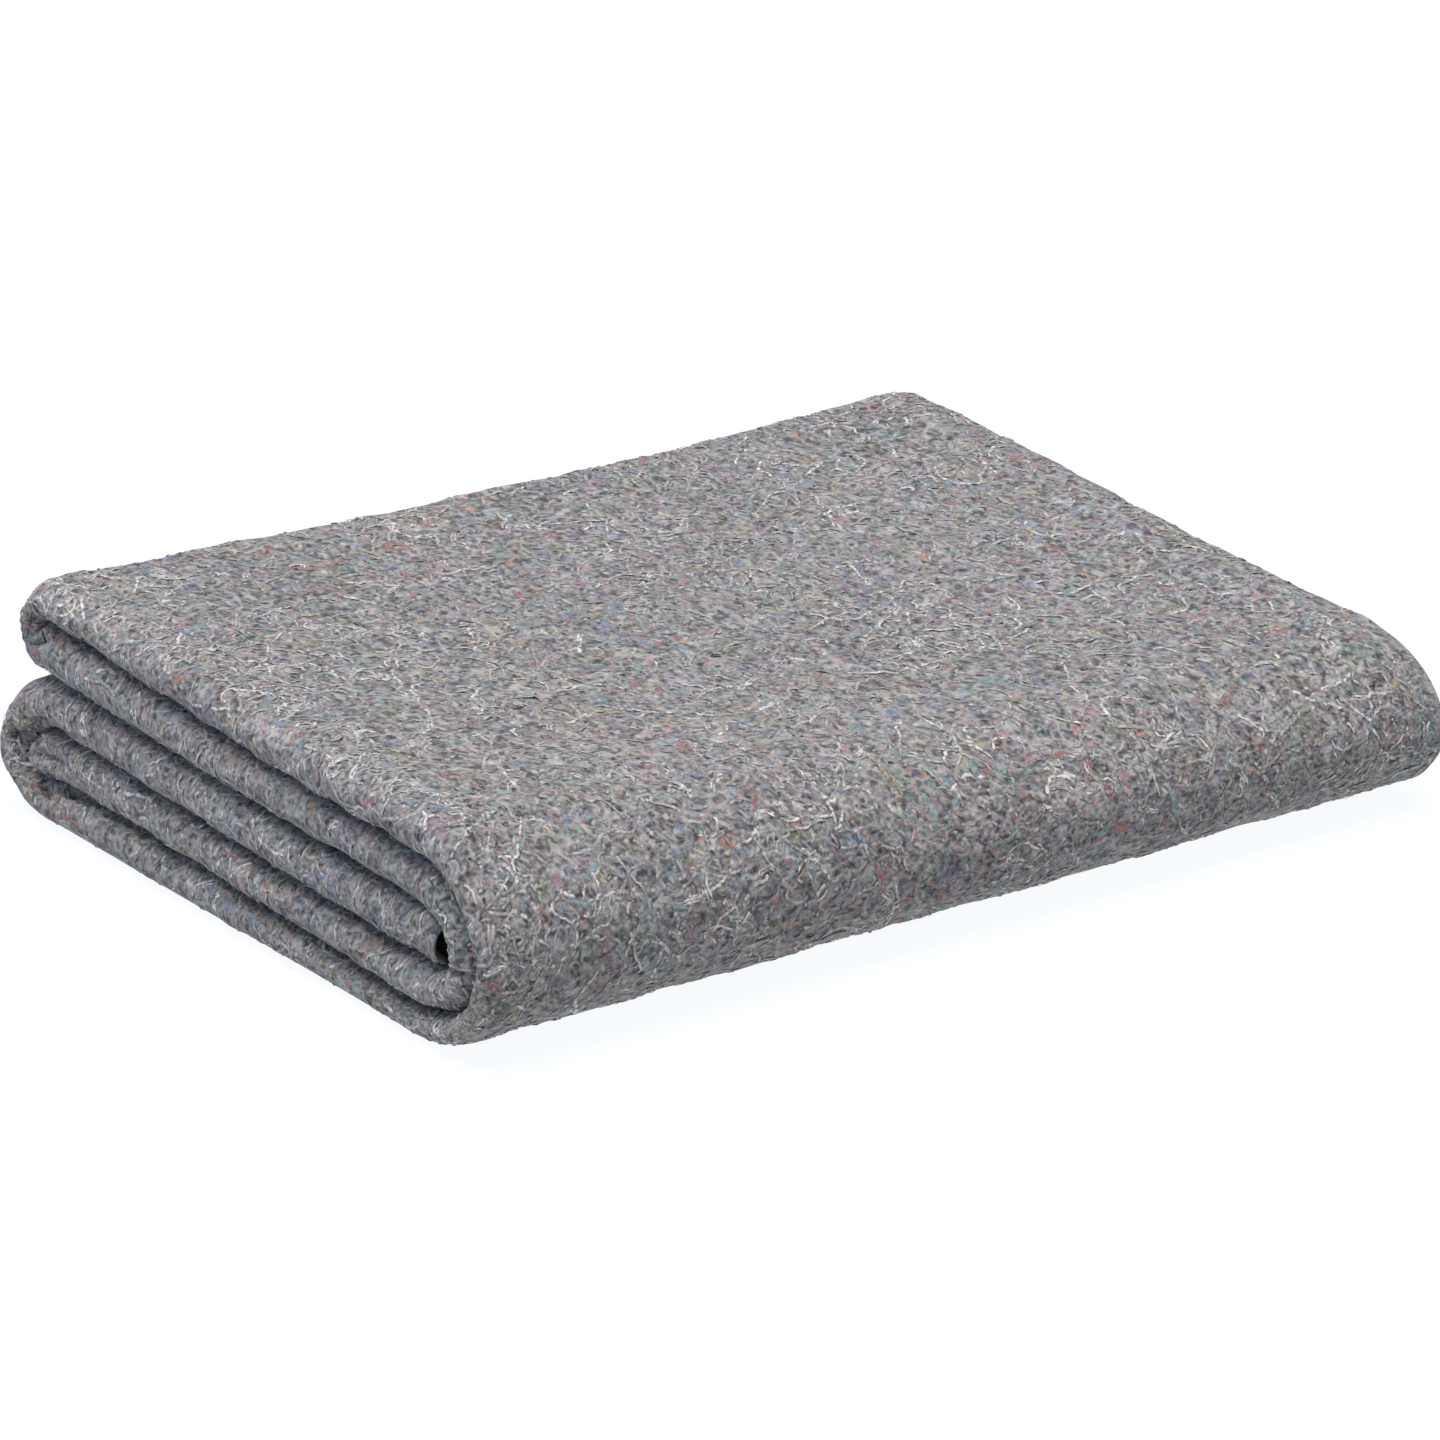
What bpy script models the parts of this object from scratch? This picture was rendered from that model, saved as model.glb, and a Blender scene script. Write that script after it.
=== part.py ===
"""Folded moving blanket of grey recycled felt, one sheet without binding.

The sheet is halved twice end to end, so four plies lie on each other, and that packet of plies is
then folded across into five runs. Seen from its left end it goes: middle run, lower back fold,
bottom run, outer front fold, top run, upper back fold, second run, inner front fold, fourth run.
The blanket is lofted along that route as one solid. Metres, +Z up, +X along the runs, the outer
front fold at -Y. It lies on Z = 0 with the middle of its box at the origin.
"""

from collections import namedtuple
from math import pi

import bpy
import numpy as np

# Sheet and packet
SHEET_LENGTH = 2.03  # cut length, laid along X in four plies
PLIES = 4
LENGTH = SHEET_LENGTH / PLIES
RUN_GAP = 0.0015  # air between one run and the next

# Levels between the runs at the left end, from the floor to the top of the pile
LEVEL_REACH = 0.13  # front and back levels hold at this distance from the middle of the depth
LEVEL_LIMIT = 1.15  # share of that distance past which a level stays as it is
Level = namedtuple("Level", "name front middle back")
LEVELS = (
    Level("floor", 0.0, 0.0, 0.0),
    Level("bottom to fourth", 0.0140, 0.0185, 0.0205),
    Level("fourth to middle", 0.0345, 0.0385, 0.0440),
    Level("middle to second", 0.0575, 0.0615, 0.0680),
    Level("second to top", 0.0785, 0.0835, 0.0925),
    Level("top", 0.1001, 0.1054, 0.1118),
)

# Route of the packet. "at" is where a run's curved fold begins, "reach" the furthest point of the
# fold's outer side, "thick" the packet pressed round the fold, "droop" how far its nose hangs.
Run = namedtuple("Run", "name level")
# The less "square" is, the blunter its inner side is.
Fold = namedtuple("Fold", "name at reach thick droop square")
ROUTE = (
    Run("middle", 2),
    Fold("lower back", 0.1454, 0.1870, 0.0175, 0.0040, 1.0),
    Run("bottom", 0),
    Fold("outer front", -0.1295, -0.1873, 0.0120, 0.0010, 1.0),
    Run("top", 4),
    Fold("upper back", 0.1503, 0.1676, 0.0155, 0.0047, 1.0),
    Run("second", 3),
    Fold("inner front", -0.1312, -0.1738, 0.0195, 0.0004, 0.5),
    Run("fourth", 1),
)
RUN_STEPS = 11
FOLD_STEPS = 15
EDGE_STEPS = 3  # stations added between a cut edge and the next one

# Cut edges of the packet: over "length" it thins to the share "thick", sinks by "droop" and leans
# until its upper side is further out by "lean", a share of its thickness.
Edge = namedtuple("Edge", "name at length thick droop lean")
FIRST_EDGE = Edge("beside the open slot", -0.1478, 0.009, 0.80, 0.0006, -0.05)
LAST_EDGE = Edge("in the lower back fold", 0.1610, 0.026, 0.66, 0.0026, 0.0)

# Section of the packet along X: a rounded ridge at the left, three ends of plies at the right.
# Sides are shares of the thickness, from -0.5 to 0.5, and "inset" is how far an end falls short.
RIDGE_DEPTH = 0.012
RIDGE_STEPS = 8
SPANS = 9  # lines of points along the packet's top, and as many on its underside
FIRST_SPAN = 0.036  # from the left end to the first of them
LAST_SPAN = 0.048  # from the last of them to the right end
SLIT_DEPTH = 0.040
SLIT_ROUND = 0.0015
PlyEnd = namedtuple("PlyEnd", "name low high inset round")
PLY_ENDS = (
    PlyEnd("loop of two plies", -0.50, -0.03, 0.000, 0.0045),
    PlyEnd("inner cut edge", 0.03, 0.235, 0.005, 0.0012),
    PlyEnd("outer cut edge", 0.285, 0.50, 0.002, 0.0012),
)
ROUND_STEPS = 3  # points between the two corners of a rounded end

# How the pile settles towards its right end
FRONT_DROP = 0.235  # share of the height lost at the right end, at the front
BACK_DROP = 0.132  # the same at the back
LEVEL_FROM = 0.89  # share of the length where the fall ends
END_RISE = 0.23  # share of that fall won back at the right end
END_ROUND = 0.030  # length over which the right end rounds off
END_FALL = 0.13  # share of the height that this rounding takes
FRONT_SPREAD = -0.007  # how far the front line moves by the right end
BACK_SPREAD = 0.0185  # the same at the back
FRONT_STRETCH = -0.008  # how much the plies' slack takes off the length at the front
BACK_STRETCH = -0.013  # the same at the back
Wave = namedtuple("Wave", "size turns start")  # unevenness of an end, in turns along the route
LEFT_WAVES = (Wave(0.0007, 4.3, 0.4), Wave(0.0005, 9.1, 2.1))
RIGHT_WAVES = (Wave(0.0026, 3.7, 1.3), Wave(0.0016, 7.9, 0.2))

# Finish
FELT_COLOUR = (0.235, 0.228, 0.232, 1.0)
FELT_ROUGHNESS = 0.95


def clear_scene():
    """Empty the scene that Blender starts with."""
    for item in list(bpy.data.objects):
        bpy.data.objects.remove(item, do_unlink=True)


def level_height(index, depth):
    """Height of one level of the pile at a distance from the middle of the depth."""
    level = LEVELS[index]
    share = np.clip(depth / LEVEL_REACH, -LEVEL_LIMIT, LEVEL_LIMIT)
    slope = (level.back - level.front) / 2
    bend = (level.back + level.front) / 2 - level.middle
    return level.middle + slope * share + bend * share**2


def run_height(run, depth):
    """Height of the middle of a run, and its thickness."""
    low = level_height(run.level, depth) + (RUN_GAP / 2 if run.level else 0.0)
    high = level_height(run.level + 1, depth) - RUN_GAP / 2
    return (low + high) / 2, high - low


def run_stations(place):
    """Stations of a straight run, as rows of middle, side and travel.

    A middle is a depth and a height. A side is the vector from the packet's negative side to its
    positive one, which is the upper side in every other run.
    """
    run = ROUTE[place]
    edge = FIRST_EDGE if place == 0 else LAST_EDGE
    start = edge.at if place == 0 else ROUTE[place - 1].at
    end = edge.at if place + 1 == len(ROUTE) else ROUTE[place + 1].at
    share = np.linspace(0.0, 1.0, RUN_STEPS)
    extra = np.linspace(0.0, share[1], EDGE_STEPS + 2)[1:-1]
    if edge.at == start:
        share = np.sort(np.concatenate([share, extra]))
    if edge.at == end:
        share = np.sort(np.concatenate([share, 1 - extra]))
    depth = start + (end - start) * share
    height, thick = run_height(run, depth)
    near = np.zeros_like(depth)
    if edge.at in (start, end):
        near = 1 - np.clip(np.abs(depth - edge.at) / edge.length, 0.0, 1.0)
    thick = thick * (edge.thick + (1 - edge.thick) * np.sqrt(1 - near**2))
    height = height - edge.droop * near**2
    upward = 1 - place % 4
    side = [upward * thick * edge.lean * near**2, upward * thick]
    return np.stack([depth, height, *side, (place + share) / len(ROUTE)], axis=1)


def fold_stations(place):
    """Stations of a fold: its outer and inner sides are half ovals from one run to the other."""
    fold = ROUTE[place]
    height_in, thick_in = run_height(ROUTE[place - 1], fold.at)
    height_out, thick_out = run_height(ROUTE[place + 1], fold.at)
    downward = np.sign(height_in - height_out)
    angle = np.linspace(0.0, pi, FOLD_STEPS + 2)[1:-1]
    out, across = np.sin(angle), (1 - np.cos(angle)) / 2
    sides = []
    inner_reach = fold.reach - np.sign(fold.reach) * fold.thick
    for outward, nose, square in ((1, fold.reach, 1.0), (-1, inner_reach, fold.square)):
        start = height_in + outward * downward * thick_in / 2
        end = height_out - outward * downward * thick_out / 2
        depth = fold.at + (nose - fold.at) * out**square
        sides.append(np.stack([depth, start + (end - start) * across - fold.droop * out], axis=1))
    middle = (sides[0] + sides[1]) / 2
    side = (sides[0] - sides[1]) * downward * (2 - place % 4)
    travel = (place + angle / pi) / len(ROUTE)
    return np.concatenate([middle, side, travel[:, None]], axis=1)


def route_stations():
    """All stations, as rows of middle, side and travel, which is 1 at the last edge."""
    stages = [run_stations(place) if isinstance(stage, Run) else fold_stations(place)
              for place, stage in enumerate(ROUTE)]
    return np.concatenate(stages)


def packet_section():
    """Outline of the packet, as rows of a share of the length, an offset along it and a side.

    The offset is in metres, and the side is a share of the packet's thickness.
    """
    angle = np.linspace(pi / 2, 3 * pi / 2, RIDGE_STEPS + 1)
    rows = [(0.0, RIDGE_DEPTH * (1 + np.cos(turn)), 0.5 * np.sin(turn)) for turn in angle]
    rows += [(share, 0.0, -0.5) for share in inner_shares()]
    for index, end in enumerate(PLY_ENDS):
        rows += ply_end_rows(end)
        if index + 1 < len(PLY_ENDS):
            rows += slit_rows(end.high, PLY_ENDS[index + 1].low)
    rows += [(share, 0.0, 0.5) for share in inner_shares()[::-1]]
    return np.array(rows)


def inner_shares():
    """Shares of the length at which the long sides are divided."""
    return np.linspace(FIRST_SPAN / LENGTH, 1.0 - LAST_SPAN / LENGTH, SPANS)


def ply_end_rows(end):
    """Rounded end of one tooth of the comb, from its low side to its high side."""
    middle, half = (end.low + end.high) / 2, (end.high - end.low) / 2
    angle = np.linspace(-pi / 2, pi / 2, ROUND_STEPS + 2)
    return [(1.0, end.round * (np.cos(turn) - 1) - end.inset, middle + half * np.sin(turn))
            for turn in angle]


def slit_rows(low, high):
    """Pointed bottom of the slit between two ends of plies."""
    middle = (low + high) / 2
    return [(1.0, -SLIT_DEPTH, low), (1.0, -SLIT_DEPTH - SLIT_ROUND, middle),
            (1.0, -SLIT_DEPTH, high)]


def wave_sum(waves, travel):
    """Sum of sine waves along the route."""
    return sum(wave.size * np.sin(2 * pi * wave.turns * travel + wave.start) for wave in waves)


def settle(points, travel):
    """Let the pile sink and spread towards its right end, and move its ends a little."""
    along = np.clip(points[..., 0] / LENGTH, 0.0, 1.0)
    back = np.clip(points[..., 1] / (2 * LEVEL_REACH) + 0.5, 0.0, 1.0)
    fall = np.sin(pi / 2 * np.clip(along / LEVEL_FROM, 0.0, 1.0))
    fall -= END_RISE * np.clip((along - LEVEL_FROM) / (1 - LEVEL_FROM), 0.0, 1.0)
    drop = FRONT_DROP + (BACK_DROP - FRONT_DROP) * back
    past = np.clip(1 + (points[..., 0] - LENGTH) / END_ROUND, 0.0, 1.0)
    round_off = END_FALL * (1 - np.sqrt(1 - past**2))
    stretch = FRONT_STRETCH + (BACK_STRETCH - FRONT_STRETCH) * back
    ends = (1 - along) * wave_sum(LEFT_WAVES, travel) + along * wave_sum(RIGHT_WAVES, travel)
    settled = points.copy()
    settled[..., 0] += along * stretch + ends
    settled[..., 1] += along * (FRONT_SPREAD + (BACK_SPREAD - FRONT_SPREAD) * back)
    settled[..., 2] *= (1 - drop * fall) * (1 - round_off)
    return settled


def blanket_rings():
    """Rings of the packet's outline, one for each station of the route."""
    stations = route_stations()
    section = packet_section()
    points = np.empty((len(stations), len(section), 3))
    points[..., 0] = section[:, 0] * LENGTH + section[:, 1]
    points[..., 1:] = stations[:, None, :2] + stations[:, None, 2:4] * section[:, 2:]
    points[..., 2] = np.maximum(points[..., 2], 0.0)
    return settle(points, stations[:, 4:])


def centred(rings):
    """Rings moved so that the middle of their box stands over the origin."""
    flat = rings.reshape(-1, 3)
    middle = (flat.min(axis=0) + flat.max(axis=0)) / 2
    return rings - np.array([middle[0], middle[1], 0.0])


def loft(name, rings):
    """Closed mesh through the rings, with a cap at each end."""
    count, width = rings.shape[:2]
    index = np.arange(count * width).reshape(count, width)
    following = np.roll(index, -1, axis=1)
    sides = np.stack([index[:-1], index[1:], following[1:], following[:-1]], axis=-1)
    faces = sides.reshape(-1, 4).tolist()
    faces.append(index[0].tolist())
    faces.append(index[-1][::-1].tolist())
    mesh = bpy.data.meshes.new(name)
    mesh.from_pydata(rings.reshape(-1, 3).tolist(), [], faces)
    mesh.validate()
    mesh.shade_smooth()
    return mesh


def felt_material():
    """Matt grey felt."""
    material = bpy.data.materials.new("felt")
    material.use_nodes = True
    shader = material.node_tree.nodes["Principled BSDF"]
    shader.inputs["Base Color"].default_value = FELT_COLOUR
    shader.inputs["Roughness"].default_value = FELT_ROUGHNESS
    shader.inputs["Metallic"].default_value = 0.0
    return material


def build():
    """Make the blanket in a collection of its own."""
    clear_scene()
    collection = bpy.data.collections.new("moving_blanket")
    bpy.context.scene.collection.children.link(collection)
    mesh = loft("blanket", centred(blanket_rings()))
    mesh.materials.append(felt_material())
    collection.objects.link(bpy.data.objects.new("blanket", mesh))


build()
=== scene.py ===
"""Looks of the folded moving blanket: its felt sheet, the yarns in the felt, and a plain studio.

The blanket is one sheet of needled felt made from shredded textiles. It is laid in four plies, and
that packet of plies is folded across into five runs. FoldRoute, Settling and Packet repeat the
route of the CAD part, and FeltSheet lays the whole sheet along it as one closed surface. Yarns are
thin crooked prisms that lie half sunk in its outer face. All lengths are in metres.
"""

from __future__ import annotations

import logging
import math
from dataclasses import dataclass, field
from enum import Enum

import bpy
import numpy as np
from mathutils import Matrix, Vector

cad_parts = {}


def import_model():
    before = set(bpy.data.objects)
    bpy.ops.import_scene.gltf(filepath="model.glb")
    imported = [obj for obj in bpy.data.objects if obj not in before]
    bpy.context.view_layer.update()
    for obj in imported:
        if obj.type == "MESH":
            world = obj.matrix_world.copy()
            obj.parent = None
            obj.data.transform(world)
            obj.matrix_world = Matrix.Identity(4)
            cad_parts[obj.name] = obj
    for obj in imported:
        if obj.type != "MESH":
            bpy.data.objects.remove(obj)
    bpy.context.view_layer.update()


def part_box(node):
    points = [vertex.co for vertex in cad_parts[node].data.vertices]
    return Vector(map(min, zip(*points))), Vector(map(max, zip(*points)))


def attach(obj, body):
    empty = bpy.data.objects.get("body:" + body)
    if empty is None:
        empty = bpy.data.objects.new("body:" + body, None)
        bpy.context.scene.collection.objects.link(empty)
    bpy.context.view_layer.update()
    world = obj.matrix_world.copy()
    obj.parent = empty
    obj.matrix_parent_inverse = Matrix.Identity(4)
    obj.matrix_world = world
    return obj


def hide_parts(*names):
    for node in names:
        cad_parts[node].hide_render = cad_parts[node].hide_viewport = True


LOG = logging.getLogger("moving_blanket")
BODY = "root"
NODE = "blanket"

SHEET_LENGTH = 2.03
PACKET_LENGTH = SHEET_LENGTH / 4
LEVEL_REACH = 0.13  # depth at which a level's front and back heights are given
STAGES = 9  # runs and folds of the route
RIDGE_RADIUS = 0.012
LOOP_RADIUS = 0.0045
CLOTH_UV = "cloth"
BAKE_UV = "OFBake"
WIDTH_UV = "width"

Pair = tuple[float, float]
Colour = tuple[float, float, float]
Palette = tuple[tuple[float, Colour], ...]  # where each step of a ramp starts, and its colour
Socket = bpy.types.NodeSocket


# --- Route of the packet ---


@dataclass(frozen=True)
class Level:
    """Height of the boundary between two runs at the front, in the middle and at the back."""

    front: float
    middle: float
    back: float
    limit: float = 1.15

    def height(self, depth: np.ndarray) -> np.ndarray:
        """Give the height at a depth: a parabola through the three heights, held past its reach.

        Args:
            depth: Distances from the middle of the pile, back positive.

        Returns:
            Heights above the floor.
        """
        share = np.clip(depth / LEVEL_REACH, -self.limit, self.limit)
        slope = (self.back - self.front) / 2
        bend = (self.back + self.front) / 2 - self.middle
        return self.middle + slope * share + bend * share**2


@dataclass(frozen=True)
class Run:
    """Straight stage of the route, on one level of the pile."""

    level: int
    rows: int


@dataclass(frozen=True)
class Fold:
    """Curved stage of the route, half an oval between two runs; its inner side may be blunter."""

    at: float
    reach: float
    thick: float
    droop: float
    rows: int
    square: float = 1.0


@dataclass(frozen=True)
class Edge:
    """Cut edge of the packet, which thins, sinks and leans over its last stretch.

    It keeps the share "thick" of its thickness, and "lean" is the share of that by which its upper
    side ends further back than its lower one.
    """

    at: float
    length: float
    thick: float
    droop: float
    lean: float


@dataclass(frozen=True)
class Stations:
    """Rows of the route, in depth and height.

    A side is the vector from the packet's negative side to its positive one. Travel is 0 at the
    first cut edge and 1 at the last, with an equal share for each stage.
    """

    middle: np.ndarray
    side: np.ndarray
    travel: np.ndarray


@dataclass(frozen=True)
class FoldRoute:
    """Back-and-forth route of the packet, seen from its left end."""

    run_gap: float = 0.0015
    first_edge: Edge = Edge(-0.1478, 0.009, 0.80, 0.0006, -0.05)
    last_edge: Edge = Edge(0.1610, 0.026, 0.66, 0.0026, 0.0)
    edge_rows: int = 8
    levels: tuple[Level, ...] = (
        Level(0.0, 0.0, 0.0),
        Level(0.0140, 0.0185, 0.0205),
        Level(0.0345, 0.0385, 0.0440),
        Level(0.0575, 0.0615, 0.0680),
        Level(0.0785, 0.0835, 0.0925),
        Level(0.1001, 0.1054, 0.1118),
    )
    stages: tuple[Run | Fold, ...] = (
        Run(2, 30),
        Fold(0.1454, 0.1870, 0.0175, 0.0040, 44),  # lower back
        Run(0, 30),
        Fold(-0.1295, -0.1873, 0.0120, 0.0010, 40),  # outer front
        Run(4, 46),
        Fold(0.1503, 0.1676, 0.0155, 0.0047, 30),  # upper back
        Run(3, 30),
        Fold(-0.1312, -0.1738, 0.0195, 0.0004, 40, 0.5),  # inner front
        Run(1, 30),
    )

    def run_height(self, run: Run, depth: np.ndarray) -> tuple[np.ndarray, np.ndarray]:
        """Give the height of a run's middle, and its thickness.

        Args:
            run: The run.
            depth: Distances from the middle of the pile.

        Returns:
            Heights and thicknesses at those depths.
        """
        low = self.levels[run.level].height(depth) + (self.run_gap / 2 if run.level else 0.0)
        high = self.levels[run.level + 1].height(depth) - self.run_gap / 2
        return (low + high) / 2, high - low

    def run_rows(self, place: int) -> np.ndarray:
        """Give a straight run's rows, evenly spaced in depth, with more of them at a cut edge.

        Towards a cut edge the thickness falls as a quarter circle does, and the middle sinks by
        the square of how near the edge is.

        Args:
            place: Index of the run among the stages.

        Returns:
            Rows of the middle, the side and the travel.
        """
        run = self.stages[place]
        edge = self.last_edge if place else self.first_edge
        start = self.stages[place - 1].at if place else edge.at
        end = edge.at if place + 1 == STAGES else self.stages[place + 1].at
        share = np.linspace(0.0, 1.0, run.rows)
        cut = edge.at in (start, end)
        if cut:
            extra = np.linspace(0.0, share[2], self.edge_rows + 2)[1:-1]
            share = np.sort(np.concatenate([share, extra if edge.at == start else 1 - extra]))
        depth = start + (end - start) * share
        height, thick = self.run_height(run, depth)
        near = np.zeros_like(depth)
        if cut:
            near = 1 - np.clip(np.abs(depth - edge.at) / edge.length, 0.0, 1.0)
        thick = thick * (edge.thick + (1 - edge.thick) * np.sqrt(1 - near**2))
        side = (1 - place % 4) * thick
        return np.stack([depth, height - edge.droop * near**2, side * edge.lean * near**2, side,
                         (place + share) / STAGES], axis=1)

    def fold_rows(self, place: int) -> np.ndarray:
        """Give a fold's rows: its outer and inner sides are half ovals between two runs.

        On each of them the depth follows the sine of an angle and the height its cosine.

        Args:
            place: Index of the fold among the stages.

        Returns:
            Rows of the middle, the side and the travel.
        """
        fold = self.stages[place]
        height_in, thick_in = self.run_height(self.stages[place - 1], np.array(fold.at))
        height_out, thick_out = self.run_height(self.stages[place + 1], np.array(fold.at))
        downward = np.sign(height_in - height_out)
        share = np.linspace(0.0, 1.0, fold.rows + 2)[1:-1]
        out, across = np.sin(math.pi * share), (1 - np.cos(math.pi * share)) / 2
        inner_nose = fold.reach - math.copysign(fold.thick, fold.reach)
        sides = []
        for outward, nose, square in ((1, fold.reach, 1.0), (-1, inner_nose, fold.square)):
            start = height_in + outward * downward * thick_in / 2
            end = height_out - outward * downward * thick_out / 2
            height = start + (end - start) * across - fold.droop * out
            sides.append(np.stack([fold.at + (nose - fold.at) * out**square, height], axis=1))
        middle = (sides[0] + sides[1]) / 2
        side = (sides[0] - sides[1]) * downward * (2 - place % 4)
        return np.concatenate([middle, side, ((place + share) / STAGES)[:, None]], axis=1)

    def stations(self) -> Stations:
        """Join the rows of all stages.

        Returns:
            All rows of the route.
        """
        rows = np.concatenate([
            self.run_rows(place) if isinstance(stage, Run) else self.fold_rows(place)
            for place, stage in enumerate(self.stages)])
        return Stations(rows[:, :2], rows[:, 2:4], rows[:, 4])


@dataclass(frozen=True)
class Wave:
    """Unevenness of an end of the packet, in turns along the route."""

    size: float
    turns: float
    start: float

    def at(self, travel: np.ndarray) -> np.ndarray:
        """Give the wave's value, a sine of the distance along the route."""
        return self.size * np.sin(2 * math.pi * self.turns * travel + self.start)


@dataclass(frozen=True)
class Settling:
    """How the pile sinks and spreads towards its right end."""

    front_drop: float = 0.235
    back_drop: float = 0.132
    level_from: float = 0.89
    end_rise: float = 0.23
    end_round: float = 0.030
    end_fall: float = 0.13
    front_spread: float = -0.007
    back_spread: float = 0.0185
    front_stretch: float = -0.008
    back_stretch: float = -0.013
    left_waves: tuple[Wave, ...] = (Wave(0.0007, 4.3, 0.4), Wave(0.0005, 9.1, 2.1))
    right_waves: tuple[Wave, ...] = (Wave(0.0026, 3.7, 1.3), Wave(0.0016, 7.9, 0.2))

    def apply(self, points: np.ndarray, travel: np.ndarray) -> np.ndarray:
        """Sink and spread points of the pile.

        Heights shrink by a quarter sine wave of the length, more at the front than at the back,
        rise a little near the right end, and round off there as a quarter circle does.

        Args:
            points: Points, from 0 to the packet's length along X.
            travel: Share of the route at each of them.

        Returns:
            The settled points.
        """
        along = np.clip(points[..., 0] / PACKET_LENGTH, 0.0, 1.0)
        back = np.clip(points[..., 1] / (2 * LEVEL_REACH) + 0.5, 0.0, 1.0)
        fall = np.sin(math.pi / 2 * np.clip(along / self.level_from, 0.0, 1.0))
        fall -= self.end_rise * np.clip((along - self.level_from) / (1 - self.level_from), 0, 1)
        drop = self.front_drop + (self.back_drop - self.front_drop) * back
        past = np.clip(1 + (points[..., 0] - PACKET_LENGTH) / self.end_round, 0.0, 1.0)
        round_off = self.end_fall * (1 - np.sqrt(1 - past**2))
        stretch = self.front_stretch + (self.back_stretch - self.front_stretch) * back
        left = sum(wave.at(travel) for wave in self.left_waves)
        right = sum(wave.at(travel) for wave in self.right_waves)
        spread = self.front_spread + (self.back_spread - self.front_spread) * back
        settled = points.copy()
        settled[..., 0] += along * stretch + (1 - along) * left + along * right
        settled[..., 1] += along * spread
        settled[..., 2] *= (1 - drop * fall) * (1 - round_off)
        return settled


# --- The four plies across the packet ---


class Part(Enum):
    """Parts of the sheet across the packet, in order from its outer cut edge."""

    OUTER_PLY = 0
    RIDGE = 1
    UNDER_PLY = 2
    LOOP = 3
    INNER_PLY = 4
    INNER_RIDGE = 5
    LAST_PLY = 6


@dataclass(frozen=True)
class Straight:
    """A ply that lies flat, from one place along X to another."""

    part: Part
    start: float
    end: float
    side: Pair
    columns: int

    def rows(self) -> np.ndarray:
        """Space the ply's columns evenly.

        Returns:
            One row for each: X and side on the outer face, X and side on the inner.
        """
        place = np.linspace(self.start, self.end, self.columns)
        face, back = (np.full_like(place, side) for side in self.side)
        return np.stack([place, face, place, back], axis=1)


@dataclass(frozen=True)
class Turn:
    """A ply's half turn round one end, as two half ellipses about one centre."""

    part: Part
    centre: Pair
    face: Pair
    back: Pair
    angles: Pair
    columns: int

    def rows(self) -> np.ndarray:
        """Space the turn's columns evenly in angle: X follows its cosine, the side its sine.

        Returns:
            One row for each: X and side on the outer face, X and side on the inner.
        """
        angle = np.linspace(*self.angles, self.columns + 2)[1:-1]
        turn = (np.cos(angle), np.sin(angle))
        return np.stack([middle + radius * wave for oval in (self.face, self.back)
                         for middle, radius, wave in zip(self.centre, oval, turn)], axis=1)


@dataclass(frozen=True)
class Packet:
    """Section of the packet along X: one strip of felt in four plies.

    Sides are shares of the packet's thickness, from -0.5 to 0.5 on its outer side.
    """

    pieces: tuple[Straight | Turn, ...] = (
        Straight(Part.OUTER_PLY, PACKET_LENGTH - 0.002, RIDGE_RADIUS, (0.50, 0.29), 82),
        Turn(Part.RIDGE, (RIDGE_RADIUS, 0.0), (RIDGE_RADIUS, 0.50), (0.0084, 0.29),
             (math.pi / 2, 3 * math.pi / 2), 41),
        Straight(Part.UNDER_PLY, RIDGE_RADIUS, PACKET_LENGTH - LOOP_RADIUS, (-0.50, -0.29), 16),
        Turn(Part.LOOP, (PACKET_LENGTH - LOOP_RADIUS, -0.2625), (LOOP_RADIUS, 0.2375),
             (0.0013, 0.0275), (-math.pi / 2, math.pi / 2), 8),
        Straight(Part.INNER_PLY, PACKET_LENGTH - LOOP_RADIUS, RIDGE_RADIUS, (-0.025, -0.235), 8),
        Turn(Part.INNER_RIDGE, (RIDGE_RADIUS, 0.0), (0.0036, 0.025), (0.0074, 0.235),
             (-math.pi / 2, -3 * math.pi / 2), 7),
        Straight(Part.LAST_PLY, RIDGE_RADIUS, PACKET_LENGTH - 0.005, (0.025, 0.235), 7),
    )

    def columns(self) -> tuple[np.ndarray, np.ndarray]:
        """Join the columns of all pieces.

        Returns:
            The X and sides of all columns across the sheet, and the part of each.
        """
        rows = [piece.rows() for piece in self.pieces]
        parts = [np.full(len(row), piece.part.value) for row, piece in zip(rows, self.pieces)]
        return np.concatenate(rows), np.concatenate(parts)


# --- Materials ---


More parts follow.
